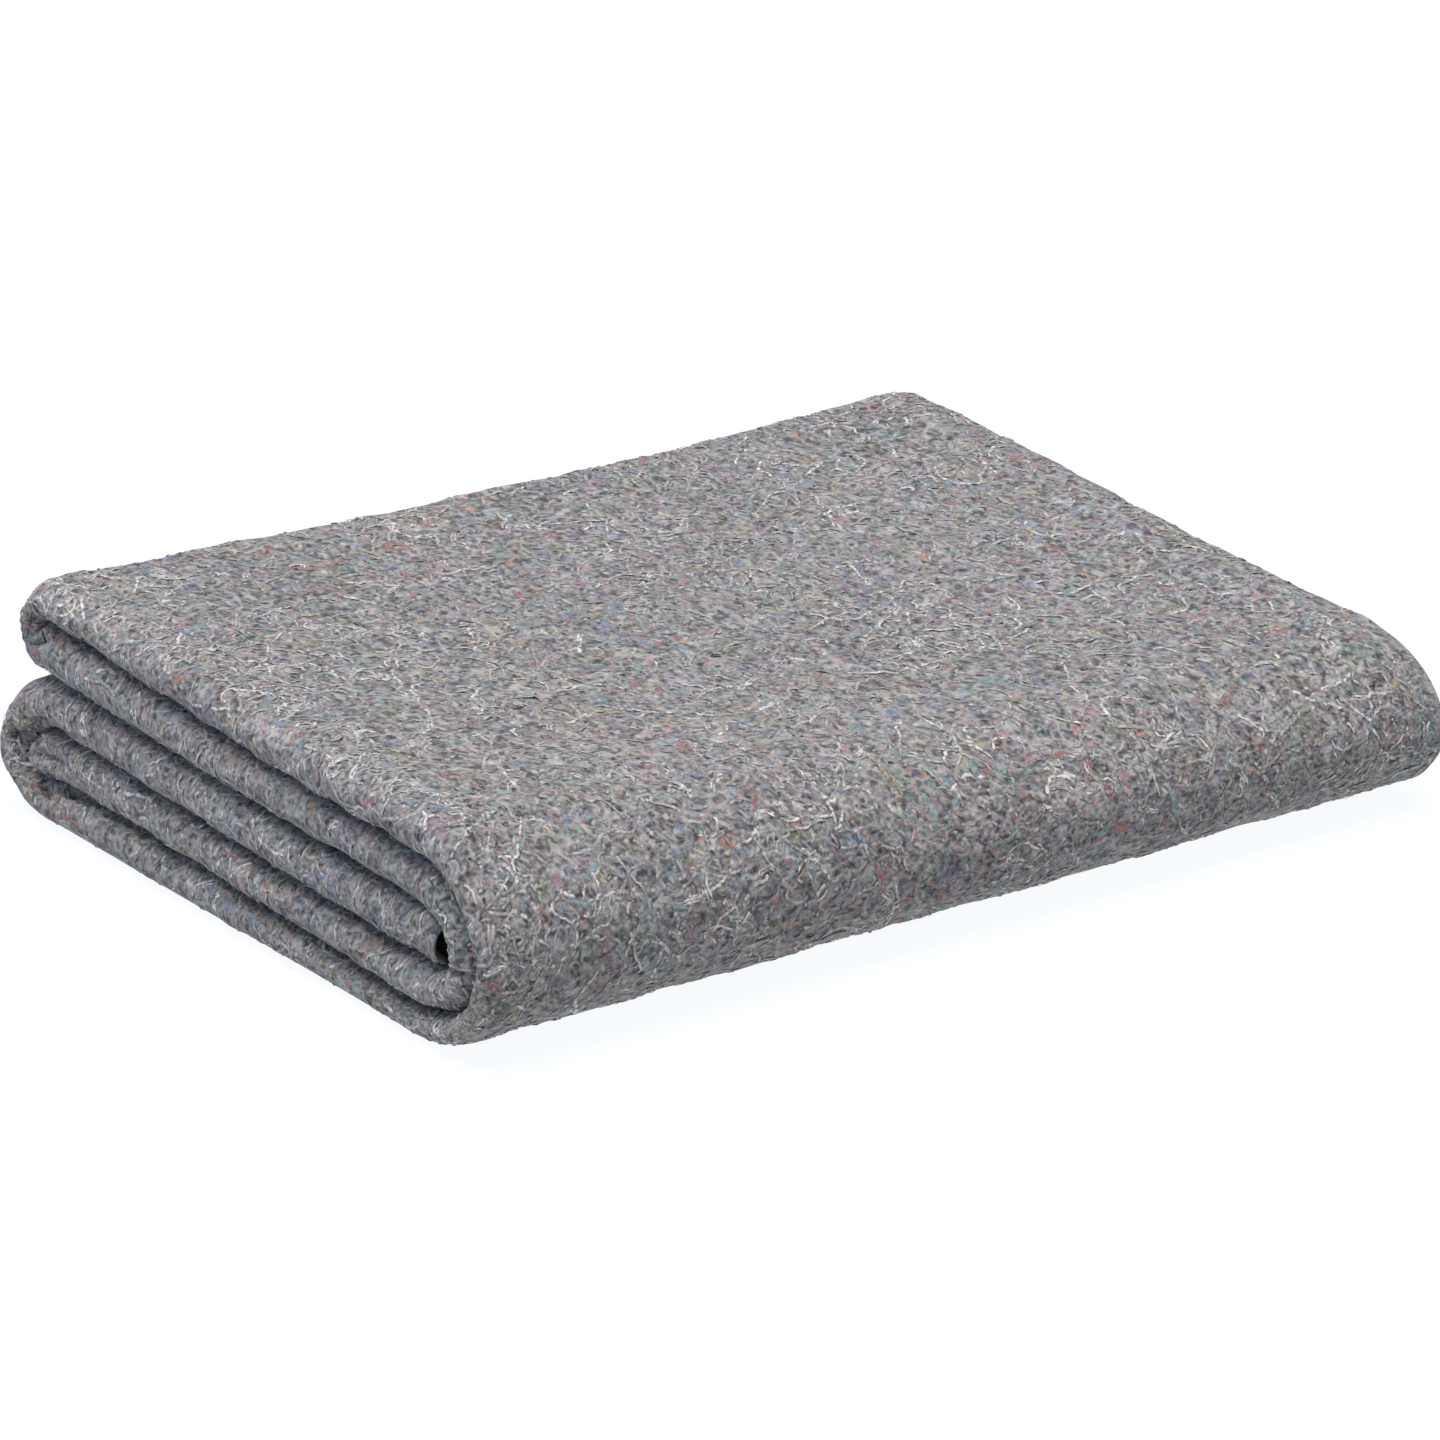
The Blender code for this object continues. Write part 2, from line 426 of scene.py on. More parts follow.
class Wiring:
    """Adds nodes to one material and links them."""

    def __init__(self, name: str) -> None:
        """Start a material with a Principled shader.

        Args:
            name: Name of the material.
        """
        self.material = bpy.data.materials.new(name)
        self.material.use_nodes = True
        self.tree = self.material.node_tree
        self.shader = self.tree.nodes["Principled BSDF"]

    def node(self, kind: str, *values: object, **settings: object) -> bpy.types.Node:
        """Add a node.

        Args:
            kind: Its type, without the leading ShaderNode.
            *values: A socket or a value for each of its first inputs, None to leave one.
            **settings: Its settings, by name.

        Returns:
            The node.
        """
        node = self.tree.nodes.new("ShaderNode" + kind)
        for name, value in settings.items():
            setattr(node, name, value)
        for target, value in zip(node.inputs, values):
            self.give(target, value)
        return node

    def give(self, target: Socket, value: object) -> None:
        """Link a socket to an input, or set the input's value.

        Args:
            target: The input.
            value: The socket or the value, None to leave the input.
        """
        if isinstance(value, Socket):
            self.tree.links.new(value, target)
        elif value is not None:
            target.default_value = value

    def shade(self, colour: Socket | tuple, rough: Socket | float, sheen: float) -> None:
        """Give the shader its colour and roughness, and the constant sockets of textile.

        Args:
            colour: The base colour.
            rough: The roughness.
            sheen: How much sheen there is.
        """
        for name, value in (("Base Color", colour), ("Roughness", rough), ("Sheen Weight", sheen),
                            ("Sheen Roughness", 0.6), ("Specular IOR Level", 0.15)):
            self.give(self.shader.inputs[name], value)

    def math(self, operation: str, first: Socket | float, second: Socket | float = 0.0) -> Socket:
        """Give the result of a Math node."""
        return self.node("Math", first, second, operation=operation).outputs[0]

    def vector(self, operation: str, first: Socket, second: Socket | tuple) -> Socket:
        """Give the result of a Vector Math node."""
        return self.node("VectorMath", first, second, operation=operation).outputs[0]

    def shifted(self, place: Socket, seed: float) -> Socket:
        """Give coordinates moved away, so that two patterns don't repeat each other."""
        return self.vector("ADD", place, (seed * 1.37, seed * 2.11, 0.0))

    def noise(self, place: Socket, size: float, detail: float = 0.0, rough: float = 0.5,
              space: str = "2D", output: int = 0) -> Socket:
        """Give a noise of grains of a size about 0.5; output 1 gives three of them as a colour."""
        values = (place, None, 1 / size, detail, rough)
        return self.node("TexNoise", *values, noise_dimensions=space).outputs[output]

    def cells(self, place: Socket) -> tuple[Socket, Socket]:
        """Give a pattern of cells of about 1: distances from their middles, and random colours."""
        return self.node("TexVoronoi", place, None, 1.0, voronoi_dimensions="2D").outputs[:2]

    def band(self, value: Socket, start: float, end: float) -> Socket:
        """Give 0 at start and 1 at end, smoothly between them."""
        return self.node("MapRange", value, start, end, 0.0, 1.0,
                         interpolation_type="SMOOTHSTEP").outputs[0]

    def mix(self, share: Socket | float, first: Socket | tuple, second: Socket | tuple) -> Socket:
        """Give a colour between two."""
        return self.node("Mix", share, *[None] * 5, first, second, data_type="RGBA").outputs[2]

    def ramp(self, value: Socket, stops: Palette) -> Socket:
        """Give the colour of the step of a ramp that a value falls in.

        Args:
            value: The value.
            stops: Where each step starts, and its colour.

        Returns:
            The colour.
        """
        node = self.node("ValToRGB", value)
        node.color_ramp.interpolation = "CONSTANT"
        elements = node.color_ramp.elements
        while len(elements) < len(stops):
            elements.new(1.0)
        for element, (position, colour) in zip(elements, stops):
            element.position, element.color = position, (*colour, 1.0)
        return node.outputs[0]

    def bump(self, height: Socket, depth: float) -> None:
        """Bump the shader's normal by a height, in steps as deep as depth."""
        node = self.node("Bump", 1.0, depth, None, height)
        self.tree.links.new(node.outputs[0], self.shader.inputs["Normal"])


@dataclass(frozen=True)
class Mottle:
    """Light and dark grains in the felt, of one size and of the finer ones within it."""

    size: float
    detail: float
    rough: float
    gain: float
    relief: float


@dataclass(frozen=True)
class Curls:
    """Curled fibres drawn in the felt, as contour lines of a noise that another noise breaks up."""

    loop: float  # size of the curls
    width: float
    cover: float  # the less, the more of them there are
    strength: float
    seed: float


@dataclass(frozen=True)
class Hairs:
    """Short straight fibres of one direction, as the peaks of a drawn-out noise."""

    angle: float
    length: float
    width: float
    cover: float
    strength: float
    seed: float


LINT: Palette = (
    (0.00, (0.040, 0.040, 0.046)),
    (0.45, (0.34, 0.33, 0.33)),
    (0.85, (0.48, 0.47, 0.46)),
)
RAGS: Palette = (
    (0.00, (0.284, 0.146, 0.163)),
    (0.18, (0.138, 0.249, 0.249)),
    (0.32, (0.163, 0.232, 0.344)),
    (0.46, (0.215, 0.129, 0.181)),
    (0.58, (0.318, 0.284, 0.163)),
    (0.68, (0.060, 0.077, 0.146)),
    (0.78, (0.447, 0.421, 0.387)),
    (0.94, (0.370, 0.138, 0.103)),
)


@dataclass(frozen=True)
class Tufts:
    """Tufts of other colours, as drawn-out cells of a pattern."""

    angle: float
    length: float
    width: float
    share: float
    strength: float
    colours: Palette
    seed: float


@dataclass(frozen=True)
class FeltFinish:
    """Grey needled felt of shredded textiles."""

    colour: Colour = (0.149, 0.1435, 0.1445)
    dark: Colour = (0.030, 0.030, 0.035)
    fibre_colour: Colour = (0.36, 0.35, 0.35)
    mottles: tuple[Mottle, ...] = (
        Mottle(0.0036, 1.4, 0.75, 2.7, 1.4),
        Mottle(0.0024, 0.0, 0.50, 0.6, 0.0),
        Mottle(0.0100, 1.0, 0.70, 1.0, 2.0),
        Mottle(0.0700, 0.0, 0.50, 0.35, 0.0),
    )
    least_shade: float = 0.22
    stir: Pair = (0.005, 0.0016)  # size and reach of the bends in the pattern
    tint: float = 0.062
    tint_size: float = 0.018
    relief: float = 0.0010
    roughness: Pair = (0.82, 1.0)
    sheen: float = 0.12
    # painted shade of small hollows: dark patches in the colour, their size, the band of a noise
    # they take, and their strength
    pit_shade_size: float = 0.0042
    pit_shade_band: Pair = (0.33, 0.22)
    pit_shade_strength: float = 0.75
    pale_curls: tuple[Curls, ...] = (
        Curls(0.0200, 0.00170, 0.54, 0.48, 3.0),
        Curls(0.0110, 0.00150, 0.52, 0.46, 5.0),
    )
    dark_curls: tuple[Curls, ...] = (Curls(0.0120, 0.00150, 0.56, 0.36, 11.0),)
    pale_hairs: tuple[Hairs, ...] = (
        Hairs(8.0, 0.0060, 0.00170, 0.67, 0.20, 21.0),
        Hairs(115.0, 0.0050, 0.00160, 0.67, 0.20, 23.0),
    )
    dark_hairs: tuple[Hairs, ...] = (Hairs(70.0, 0.0036, 0.00160, 0.67, 0.28, 31.0),)
    tufts: tuple[Tufts, ...] = (
        Tufts(25.0, 0.0150, 0.0050, 0.13, 0.44, RAGS, 41.0),
        Tufts(110.0, 0.0095, 0.0040, 0.13, 0.44, RAGS, 42.0),
    )
    flecks: tuple[Tufts, ...] = (
        Tufts(70.0, 0.0040, 0.0028, 0.16, 0.50, RAGS, 43.0),
        Tufts(20.0, 0.0024, 0.0018, 0.14, 0.60, LINT, 51.0),
        Tufts(125.0, 0.0055, 0.0020, 0.12, 0.45, LINT, 52.0),
    )

    @staticmethod
    def drawn_out(wires: Wiring, place: Socket, layer: Hairs | Tufts) -> Socket:
        """Turn coordinates and divide them by a length and a width, so that patterns stretch.

        Args:
            wires: The material.
            place: Coordinates on the cloth.
            layer: The layer that has the angle, the length and the width.

        Returns:
            The turned and stretched coordinates.
        """
        turned = wires.node("VectorRotate", wires.shifted(place, layer.seed), (0.0,) * 3,
                            (0.0, 0.0, 1.0), math.radians(layer.angle), rotation_type="Z_AXIS")
        return wires.vector("MULTIPLY", turned.outputs[0], (1 / layer.length, 1 / layer.width, 1))

    @staticmethod
    def curls(wires: Wiring, place: Socket, layer: Curls) -> Socket:
        """Give the mask of one layer of curled fibres.

        A noise has a contour line wherever it passes 0.5. Its slope there is about an eighth of a
        unit for each quarter of a curl, which turns the fibre's width into a band of values. A
        second noise keeps only some stretches of the lines.

        Args:
            wires: The material.
            place: Coordinates on the cloth.
            layer: The layer.

        Returns:
            The mask, as strong as the layer on a fibre.
        """
        moved = wires.shifted(place, layer.seed)
        off = wires.math("SUBTRACT", wires.noise(moved, layer.loop, 1.0), 0.5)
        half = layer.width / 2 * 0.125 / (layer.loop / 4)
        line = wires.band(wires.math("ABSOLUTE", off), half * 1.8, half * 0.2)
        broken = wires.noise(wires.shifted(moved, 1.0), layer.loop * 0.8)
        kept = wires.band(broken, layer.cover, layer.cover + 0.08)
        return wires.math("MULTIPLY", wires.math("MULTIPLY", line, kept), layer.strength)

    def hairs(self, wires: Wiring, place: Socket, layer: Hairs) -> Socket:
        """Give the mask of one layer of straight fibres: only a drawn-out noise's highest values.

        Args:
            wires: The material.
            place: Coordinates on the cloth.
            layer: The layer.

        Returns:
            The mask, as strong as the layer on a fibre.
        """
        peaks = wires.noise(self.drawn_out(wires, place, layer), 1.0)
        kept = wires.band(peaks, layer.cover, layer.cover + 0.10)
        return wires.math("MULTIPLY", kept, layer.strength)

    def tufted(self, wires: Wiring, place: Socket, layer: Tufts, colour: Socket) -> Socket:
        """Lay one layer of tufts over a colour.

        Each cell of a pattern has random shades. One of them says whether it is a tuft, another
        picks its colour. The tuft fades towards the cell's edge.

        Args:
            wires: The material.
            place: Coordinates on the cloth.
            layer: The layer.
            colour: The colour under it.

        Returns:
            The colour with the tufts on it.
        """
        distance, shades = wires.cells(self.drawn_out(wires, place, layer))
        shades = wires.node("SeparateColor", shades)
        chosen = wires.band(shades.outputs[0], 0.96 - layer.share, 1.04 - layer.share)
        mask = wires.math("MULTIPLY", wires.band(distance, 0.60, 0.20), chosen)
        mask = wires.math("MULTIPLY", mask, layer.strength)
        return wires.mix(mask, colour, wires.ramp(shades.outputs[1], layer.colours))

    def grains(self, wires: Wiring, place: Socket) -> tuple[Socket, Socket]:
        """Give the felt's shade and height: sums of noises of several sizes.

        Args:
            wires: The material.
            place: Coordinates on the cloth.

        Returns:
            The shade about 1, and the height.
        """
        shade: Socket | float = 1.0
        height: Socket | float = 0.0
        for number, mottle in enumerate(self.mottles):
            moved = wires.shifted(place, number)
            pattern = wires.noise(moved, mottle.size, mottle.detail, mottle.rough)
            part = wires.math("MULTIPLY", wires.math("SUBTRACT", pattern, 0.5), mottle.gain)
            shade = wires.math("ADD", part, shade)
            if mottle.relief:
                height = wires.math("ADD", wires.math("MULTIPLY", pattern, mottle.relief), height)
        return wires.math("MAXIMUM", shade, self.least_shade), height

    def material(self, name: str) -> bpy.types.Material:
        """Make the felt: mottled grey grains, tufts, painted shade of small hollows, fibres,
        flecks.

        Args:
            name: Name of the material.

        Returns:
            The material.
        """
        wires = Wiring(name)
        flat = wires.node("UVMap", uv_map=CLOTH_UV).outputs[0]
        size, reach = self.stir
        stir = wires.vector("SUBTRACT", wires.noise(flat, size, output=1), (0.5,) * 3)
        place = wires.vector("ADD", flat, wires.vector("MULTIPLY", stir, (reach, reach, 0.0)))
        shade, height = self.grains(wires, place)
        base = wires.node("VectorMath", self.colour, None, None, shade, operation="SCALE")
        tint = wires.noise(wires.shifted(place, 12.0), self.tint_size, 1.0, 0.70, output=1)
        tint = wires.vector("SUBTRACT", tint, (0.5,) * 3)
        tint = wires.vector("MULTIPLY", tint, (self.tint, self.tint * 0.7, self.tint * 1.1))
        colour = wires.vector("ADD", base.outputs[0], tint)
        colour = wires.vector("MAXIMUM", colour, (0.02,) * 3)

        for layer in self.tufts:
            colour = self.tufted(wires, place, layer, colour)
        # dark patches painted into the colour as the shade of small hollows in the felt; they have
        # no relief of their own
        pit_shade = wires.band(wires.noise(wires.shifted(place, 14.0), self.pit_shade_size), *self.pit_shade_band)
        pit_shade = wires.math("MULTIPLY", pit_shade, self.pit_shade_strength)
        dark = [pit_shade, *(self.curls(wires, place, layer) for layer in self.dark_curls),
                *(self.hairs(wires, place, layer) for layer in self.dark_hairs)]
        pale = [*(self.hairs(wires, place, layer) for layer in self.pale_hairs),
                *(self.curls(wires, place, layer) for layer in self.pale_curls)]
        for masks, fibre in ((dark, self.dark), (pale, self.fibre_colour)):
            for mask in masks:
                colour = wires.mix(mask, colour, (*fibre, 1.0))
        for layer in self.flecks:
            colour = self.tufted(wires, place, layer, colour)
        rough = wires.node("MapRange", shade, 0.6, 1.4, *self.roughness).outputs[0]
        wires.shade(colour, rough, self.sheen)
        wires.bump(height, self.relief)
        return wires.material


@dataclass(frozen=True)
class YarnFinish:
    """Frayed yarn of one colour, with uneven dye and grey felt over parts of it."""

    colour: Colour
    spread: float = 0.5
    frayed: float = 0.44  # the more, the more of it the felt covers
    feather: float = 0.34  # how much more of it at its sides
    felt: tuple[Colour, Colour] = ((0.10, 0.10, 0.10), (0.21, 0.20, 0.21))
    roughness: float = 0.85
    sheen: float = 0.1
    relief: float = 0.0003
    dye_size: float = 0.0045
    strand_size: float = 0.0012
    cover_size: float = 0.0022

    def material(self, name: str) -> bpy.types.Material:
        """Make the yarn's material.

        Args:
            name: Name of the material.

        Returns:
            The material.
        """
        wires = Wiring(name)
        place = wires.node("TexCoord").outputs["Object"]
        dye = wires.noise(place, self.dye_size, 1.0, space="3D")
        strands = wires.noise(wires.shifted(place, 1.0), self.strand_size, space="3D")
        cover = wires.noise(wires.shifted(place, 2.0), self.cover_size, 1.0, space="3D")
        darker = tuple(part * (1 - self.spread) for part in self.colour)
        colour = wires.mix(wires.band(dye, 0.36, 0.60), (*darker, 1.0), (*self.colour, 1.0))
        aside = wires.node("SeparateXYZ", wires.node("UVMap", uv_map=WIDTH_UV).outputs[0])
        aside = wires.math("MULTIPLY", wires.math("POWER", aside.outputs[0], 1.6), self.feather)
        cover = wires.math("SUBTRACT", cover, aside)
        bare = wires.band(cover, self.frayed - 0.18, self.frayed + 0.13)
        grey = wires.mix(wires.band(strands, 0.35, 0.65), *((*tone, 1.0) for tone in self.felt))
        wires.shade(wires.mix(bare, grey, colour), self.roughness, self.sheen)
        wires.bump(strands, self.relief)
        return wires.material


@dataclass(frozen=True)
class FloorFinish:
    """Plain pale studio floor."""

    colour: tuple[float, ...] = (0.06, 0.06, 0.06, 1.0)
    glow_colour: tuple[float, ...] = (0.98, 1.0, 1.02, 1.0)
    glow: float = 0.94
    roughness: float = 0.9

    def material(self, name: str) -> bpy.types.Material:
        """Make the floor's material.

        Args:
            name: Name of the material.

        Returns:
            The material.
        """
        wires = Wiring(name)
        wires.shade(self.colour, self.roughness, 0.0)
        for target, value in (("Emission Color", self.glow_colour),
                              ("Emission Strength", self.glow), ("Specular IOR Level", 0.0)):
            wires.give(wires.shader.inputs[target], value)
        return wires.material


# --- Meshes ---


def make_mesh(name: str, points: np.ndarray, faces: list[np.ndarray],
              layers: dict[str, list[np.ndarray]], smooth: bool = True) -> bpy.types.Mesh:
    """Put whole arrays into a new mesh.

    Args:
        name: Name of the mesh.
        points: One row for each point.
        faces: Arrays of faces, each of one number of corners.
        layers: For each UV map, its coordinates at the faces' corners, in the order of faces.
        smooth: Whether its faces are shaded as one smooth surface.

    Returns:
        The mesh.
    """
    loops = np.concatenate([part.ravel() for part in faces])
    sizes = np.concatenate([np.full(len(part), part.shape[1]) for part in faces])
    mesh = bpy.data.meshes.new(name)
    mesh.vertices.add(len(points))
    mesh.vertices.foreach_set("co", points.astype(np.float32).ravel())
    mesh.loops.add(len(loops))
    mesh.loops.foreach_set("vertex_index", loops.astype(np.int32))
    mesh.polygons.add(len(sizes))
    starts = np.concatenate([[0], np.cumsum(sizes)[:-1]])
    mesh.polygons.foreach_set("loop_start", starts.astype(np.int32))
    mesh.polygons.foreach_set("loop_total", sizes.astype(np.int32))
    mesh.update(calc_edges=True)
    for layer, corners in layers.items():
        flat = np.concatenate([part.reshape(-1, 2) for part in corners])
        mesh.uv_layers.new(name=layer).data.foreach_set("uv", flat.astype(np.float32).ravel())
    mesh.polygons.foreach_set("use_smooth", np.full(len(sizes), smooth))
    return mesh


def put(data: bpy.types.ID, matrix: Matrix | None = None) -> bpy.types.Object:
    """Put a mesh, light or camera into the scene as an object of its own name.

    Args:
        data: The mesh, light or camera.
        matrix: Where it stands, None for the origin.

    Returns:
        The object.
    """
    made = bpy.data.objects.new(data.name, data)
    if matrix is not None:
        made.matrix_world = matrix
    bpy.context.scene.collection.objects.link(made)
    return made


def add_piece(mesh: bpy.types.Mesh, material: bpy.types.Material) -> bpy.types.Object:
    """Put a mesh into the scene as a piece that rides on the blanket's body.

    Args:
        mesh: The mesh, whose name the piece takes.
        material: Its material.

    Returns:
        The piece.
    """
    mesh.materials.append(material)
    piece = put(mesh)
    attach(piece, BODY)
    LOG.info("%s: %d triangles", piece.name, sum(len(face.vertices) - 2 for face in mesh.polygons))
    return piece


def unit(vectors: np.ndarray) -> np.ndarray:
    """Give vectors of length one in the same directions."""
    return vectors / np.linalg.norm(vectors, axis=-1, keepdims=True)


def face_normals(grid: np.ndarray) -> np.ndarray:
    """Give a grid's unit normals: the cross product of its slopes along rows and columns."""
    return unit(np.cross(np.gradient(grid, axis=0), np.gradient(grid, axis=1)))


@dataclass
class Face:
    """The sheet's outer face as a grid: each row a place on the route, each column one across."""

    points: np.ndarray
    normals: np.ndarray
    across: np.ndarray  # distance across the sheet, one for each column
    along: np.ndarray  # distance along the route, one for each row
    parts: np.ndarray
    travel: np.ndarray

    def at(self, across: np.ndarray, along: np.ndarray) -> tuple[np.ndarray, np.ndarray]:
        """Give points and normals at places on the cloth, between those of the grid.

        Args:
            across: Distances across the sheet.
            along: Distances along the route.

        Returns:
            Points and unit normals.
        """
        column = np.interp(across, self.across, np.arange(len(self.across)))
        row = np.interp(along, self.along, np.arange(len(self.along)))
        left = np.minimum(column.astype(int), len(self.across) - 2)
        low = np.minimum(row.astype(int), len(self.along) - 2)
        share, rise = (column - left)[..., None], (row - low)[..., None]

        def blend(grid: np.ndarray) -> np.ndarray:
            """Give the grid's values, in proportion between four neighbours."""
            under, over = (grid[line, left] * (1 - share) + grid[line, left + 1] * share
                           for line in (low, low + 1))  # at the lower row and at the next
            return under * (1 - rise) + over * rise

        return blend(self.points), unit(blend(self.normals))


@dataclass(frozen=True)
class Dent:
    """Hollow or crevice pressed into the sheet's outer face.

    Its place is a stage of the route with a share of it, and a distance across the sheet from the
    crest of the left ridge. Length lies along the route and width across it, before the turn.
    """

    stage: float
    across: float
    length: float
    width: float
    turn: float
    depth: float

    def at(self, across: np.ndarray, along: np.ndarray) -> np.ndarray:
        """Give the depth of a place: it falls off from the middle as a Gaussian does.

        Args:
            across: Distances across, from the dent's middle.
            along: Distances along, from the dent's middle.

        Returns:
            Depths.
        """
        cos, sin = math.cos(math.radians(self.turn)), math.sin(math.radians(self.turn))
        over = (along * cos + across * sin) / self.length
        aside = (across * cos - along * sin) / self.width
        return self.depth * np.exp(-(over**2) - aside**2)


DENTS: tuple[Dent, ...] = (
    # the upper back fold: a crease at its front, and a hollow above it
    Dent(5.52, 0.0012, 0.0045, 0.0045, 0.0, 0.0045),
    Dent(5.98, 0.0040, 0.0110, 0.0028, 20.0, 0.0055),
    # the lower back fold: the pinch under the notch, and the mouth of the fold
    Dent(1.40, 0.0040, 0.0060, 0.0032, 25.0, 0.0062),
    Dent(1.38, 0.0095, 0.0055, 0.0034, -20.0, 0.0075),
    Dent(1.12, 0.0085, 0.0100, 0.0030, 10.0, 0.0072),
    Dent(8.95, -0.0005, 0.0120, 0.0030, 0.0, 0.0060),
    Dent(1.91, 0.0073, 0.0080, 0.0030, -15.0, 0.0065),
    Dent(2.03, 0.0120, 0.0090, 0.0030, 15.0, 0.0058),
    # the inner front fold: a crease, and the bulge under it
    Dent(7.56, 0.0026, 0.0024, 0.0075, 0.0, 0.0030),
    Dent(7.66, 0.0055, 0.0040, 0.0070, 0.0, -0.0014),
    # above the open slot, where both runs touch
    Dent(0.02, -0.0100, 0.0130, 0.0040, 0.0, -0.0026),
    Dent(7.15, -0.0100, 0.0130, 0.0040, 0.0, -0.0022),
)


@dataclass
class FeltSheet:
    """The blanket's one sheet of felt, folded."""

    route: FoldRoute = field(default_factory=FoldRoute)
    packet: Packet = field(default_factory=Packet)
    settling: Settling = field(default_factory=Settling)
    finish: FeltFinish = field(default_factory=FeltFinish)
    dents: tuple[Dent, ...] = DENTS
    wrinkles: int = 90
    wrinkle_length: Pair = (0.004, 0.012)
    wrinkle_width: Pair = (0.0012, 0.0028)
    wrinkle_turn: float = 50.0
    wrinkle_depth: float = 0.0011
    unevenness: float = 0.00035
    wavelengths: Pair = (0.018, 0.070)
    waves: int = 14
    seed: int = 5
    slot_depth: float = 0.030
    slot_start: float = 0.009  # how far behind the ridge the slot begins
    slot_blend: float = 0.012
    slot_lip: float = 0.0012
    slot_roll: float = 0.010  # how far the outer ply's inner side ends behind its outer one there
    floor_height: float = 0.004  # below it the felt lies flat
    edge_round: float = 0.0008
    edge_width: float = 0.003  # half a cut edge on the cloth's map
    edge_height: float = 0.0035
    inner_start: float = 3.0  # where the inner face lies on the cloth's map
    back_stride: int = 4  # columns of the outer face for each of the inner face
    hidden_scale: float = 0.10
    under_scale: float = 0.5
    strip_size: Pair = (0.008, 0.003)
    patch_margin: float = 0.006
    patch_slack: float = 1.06  # width of a row of patches, over the side of a square of their area

    def grid(self) -> tuple[np.ndarray, Stations, np.ndarray, np.ndarray, np.ndarray]:
        """Lay the sheet along the route.

        Each point is the route's middle plus the route's side times the point's share of it, with
        the packet's own X. Behind the outer ply's ridge, the packet's first cut edge is drawn in,
        which leaves the slot beside it deep and dark.

        Returns:
            Points of both faces, the stations, distances across and along, and parts of columns.
        """
        stations = self.route.stations()
        columns, parts = self.packet.columns()
        outer = parts <= Part.UNDER_PLY.value
        from_edge = stations.middle[:, 0] - self.route.first_edge.at
        near = np.clip(1 - from_edge / (2 * self.slot_depth), 0.0, 1.0)
        near = np.where(stations.travel < 1 / STAGES, near, 0.0)[:, None]
        faces = []
        for (place, side), rolled in ((columns.T[:2], 0.0), (columns.T[2:], self.slot_roll)):
            points = np.empty((len(near), len(place), 3))
            points[..., 0] = place
            points[..., 1:] = stations.middle[:, None] + stations.side[:, None] * side[:, None]
            behind = (place - np.where(outer, self.slot_start, 0.0)) / self.slot_blend
            drawn = self.slot_depth * np.clip(behind, 0.0, 1.0)
            drawn = drawn - self.slot_lip * (1 - (2 * side) ** 2) + rolled * outer
            points[..., 1] += near * drawn
            points[..., 2] = np.maximum(points[..., 2], 0.0)
            faces.append(self.settling.apply(points, stations.travel[:, None]))
        grid = np.stack(faces)
        low, high = (np.array(corner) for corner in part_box(NODE))
        middle = (grid.min(axis=(0, 1, 2)) + grid.max(axis=(0, 1, 2))) / 2
        grid[..., :2] += ((low + high) / 2 - middle)[:2]

        step = np.linalg.norm(np.diff(grid[0], axis=1), axis=2).mean(axis=0)
        across = np.concatenate([[0.0], np.cumsum(step)])
        # along is measured halfway between the packet's middle and either side, the longer counts
        lines = stations.middle[None] + np.array([[[-0.25]], [[0.25]]]) * stations.side
        step = np.linalg.norm(np.diff(lines, axis=1), axis=2).max(axis=0)
        along = np.concatenate([[0.0], np.cumsum(step)])
        return grid, stations, across, along, parts

    def uneven(self, across: np.ndarray, along: np.ndarray) -> np.ndarray:
        """Give the felt's low relief: a sum of plane waves in random directions.

        Args:
            across: Distances across.
            along: Distances along.

        Returns:
            Heights by row and column.
        """
        chance = np.random.default_rng(self.seed)
        total = np.zeros((len(along), len(across)))
        for _ in range(self.waves):
            turn, start = chance.uniform(0, 2 * math.pi, 2)
            wave = 2 * math.pi / chance.uniform(*self.wavelengths)
            place = across * math.cos(turn) + along[:, None] * math.sin(turn)
            total += np.sin(wave * place + start)
        return self.unevenness * total / math.sqrt(self.waves / 2)

    def pressed(self, across: np.ndarray, along: np.ndarray, parts: np.ndarray,
                travel: np.ndarray) -> np.ndarray:
        """Give how deep dents and small wrinkles press the outer face in.

        Args:
            across: Distances across.
            along: Distances along.
            parts: Part of each column.
            travel: Share of the route of each row.

        Returns:
            Depths by row and column.
        """
        chance = np.random.default_rng(self.seed + 1)
        ridge = across[parts == Part.RIDGE.value]
        crest, reach = (ridge[0] + ridge[-1]) / 2, (ridge[-1] - ridge[0]) / 2
        count = self.wrinkles
        wrinkles = zip(
            chance.uniform(0, STAGES, count), chance.uniform(-reach, reach, count),
            chance.uniform(*self.wrinkle_length, count), chance.uniform(*self.wrinkle_width, count),
            chance.normal(0, self.wrinkle_turn, count),
            self.wrinkle_depth * chance.uniform(0.3, 1.0, count))
        depth = np.zeros((len(along), len(across)))
        for dent in (*self.dents, *(Dent(*wrinkle) for wrinkle in wrinkles)):
            middle = np.interp(dent.stage / STAGES, travel, along)
            depth += dent.at(across[None, :] - crest - dent.across, along[:, None] - middle)
        return depth

    def build(self) -> tuple[bpy.types.Object, Face]:
        """Make the sheet's piece.

        Returns:
            The piece, and its outer face for the yarns that lie on it.
        """
        grid, stations, across, along, parts = self.grid()
        travel = stations.travel
        shown = (parts <= Part.RIDGE.value)[None, :] * (grid[0, :, :, 2] > self.floor_height)
        lift = self.uneven(across, along) - self.pressed(across, along, parts, travel)
        grid = grid + ((lift * shown)[..., None] * face_normals(grid[0]))[None]
        grid[..., 2] = np.maximum(grid[..., 2], 0.0)

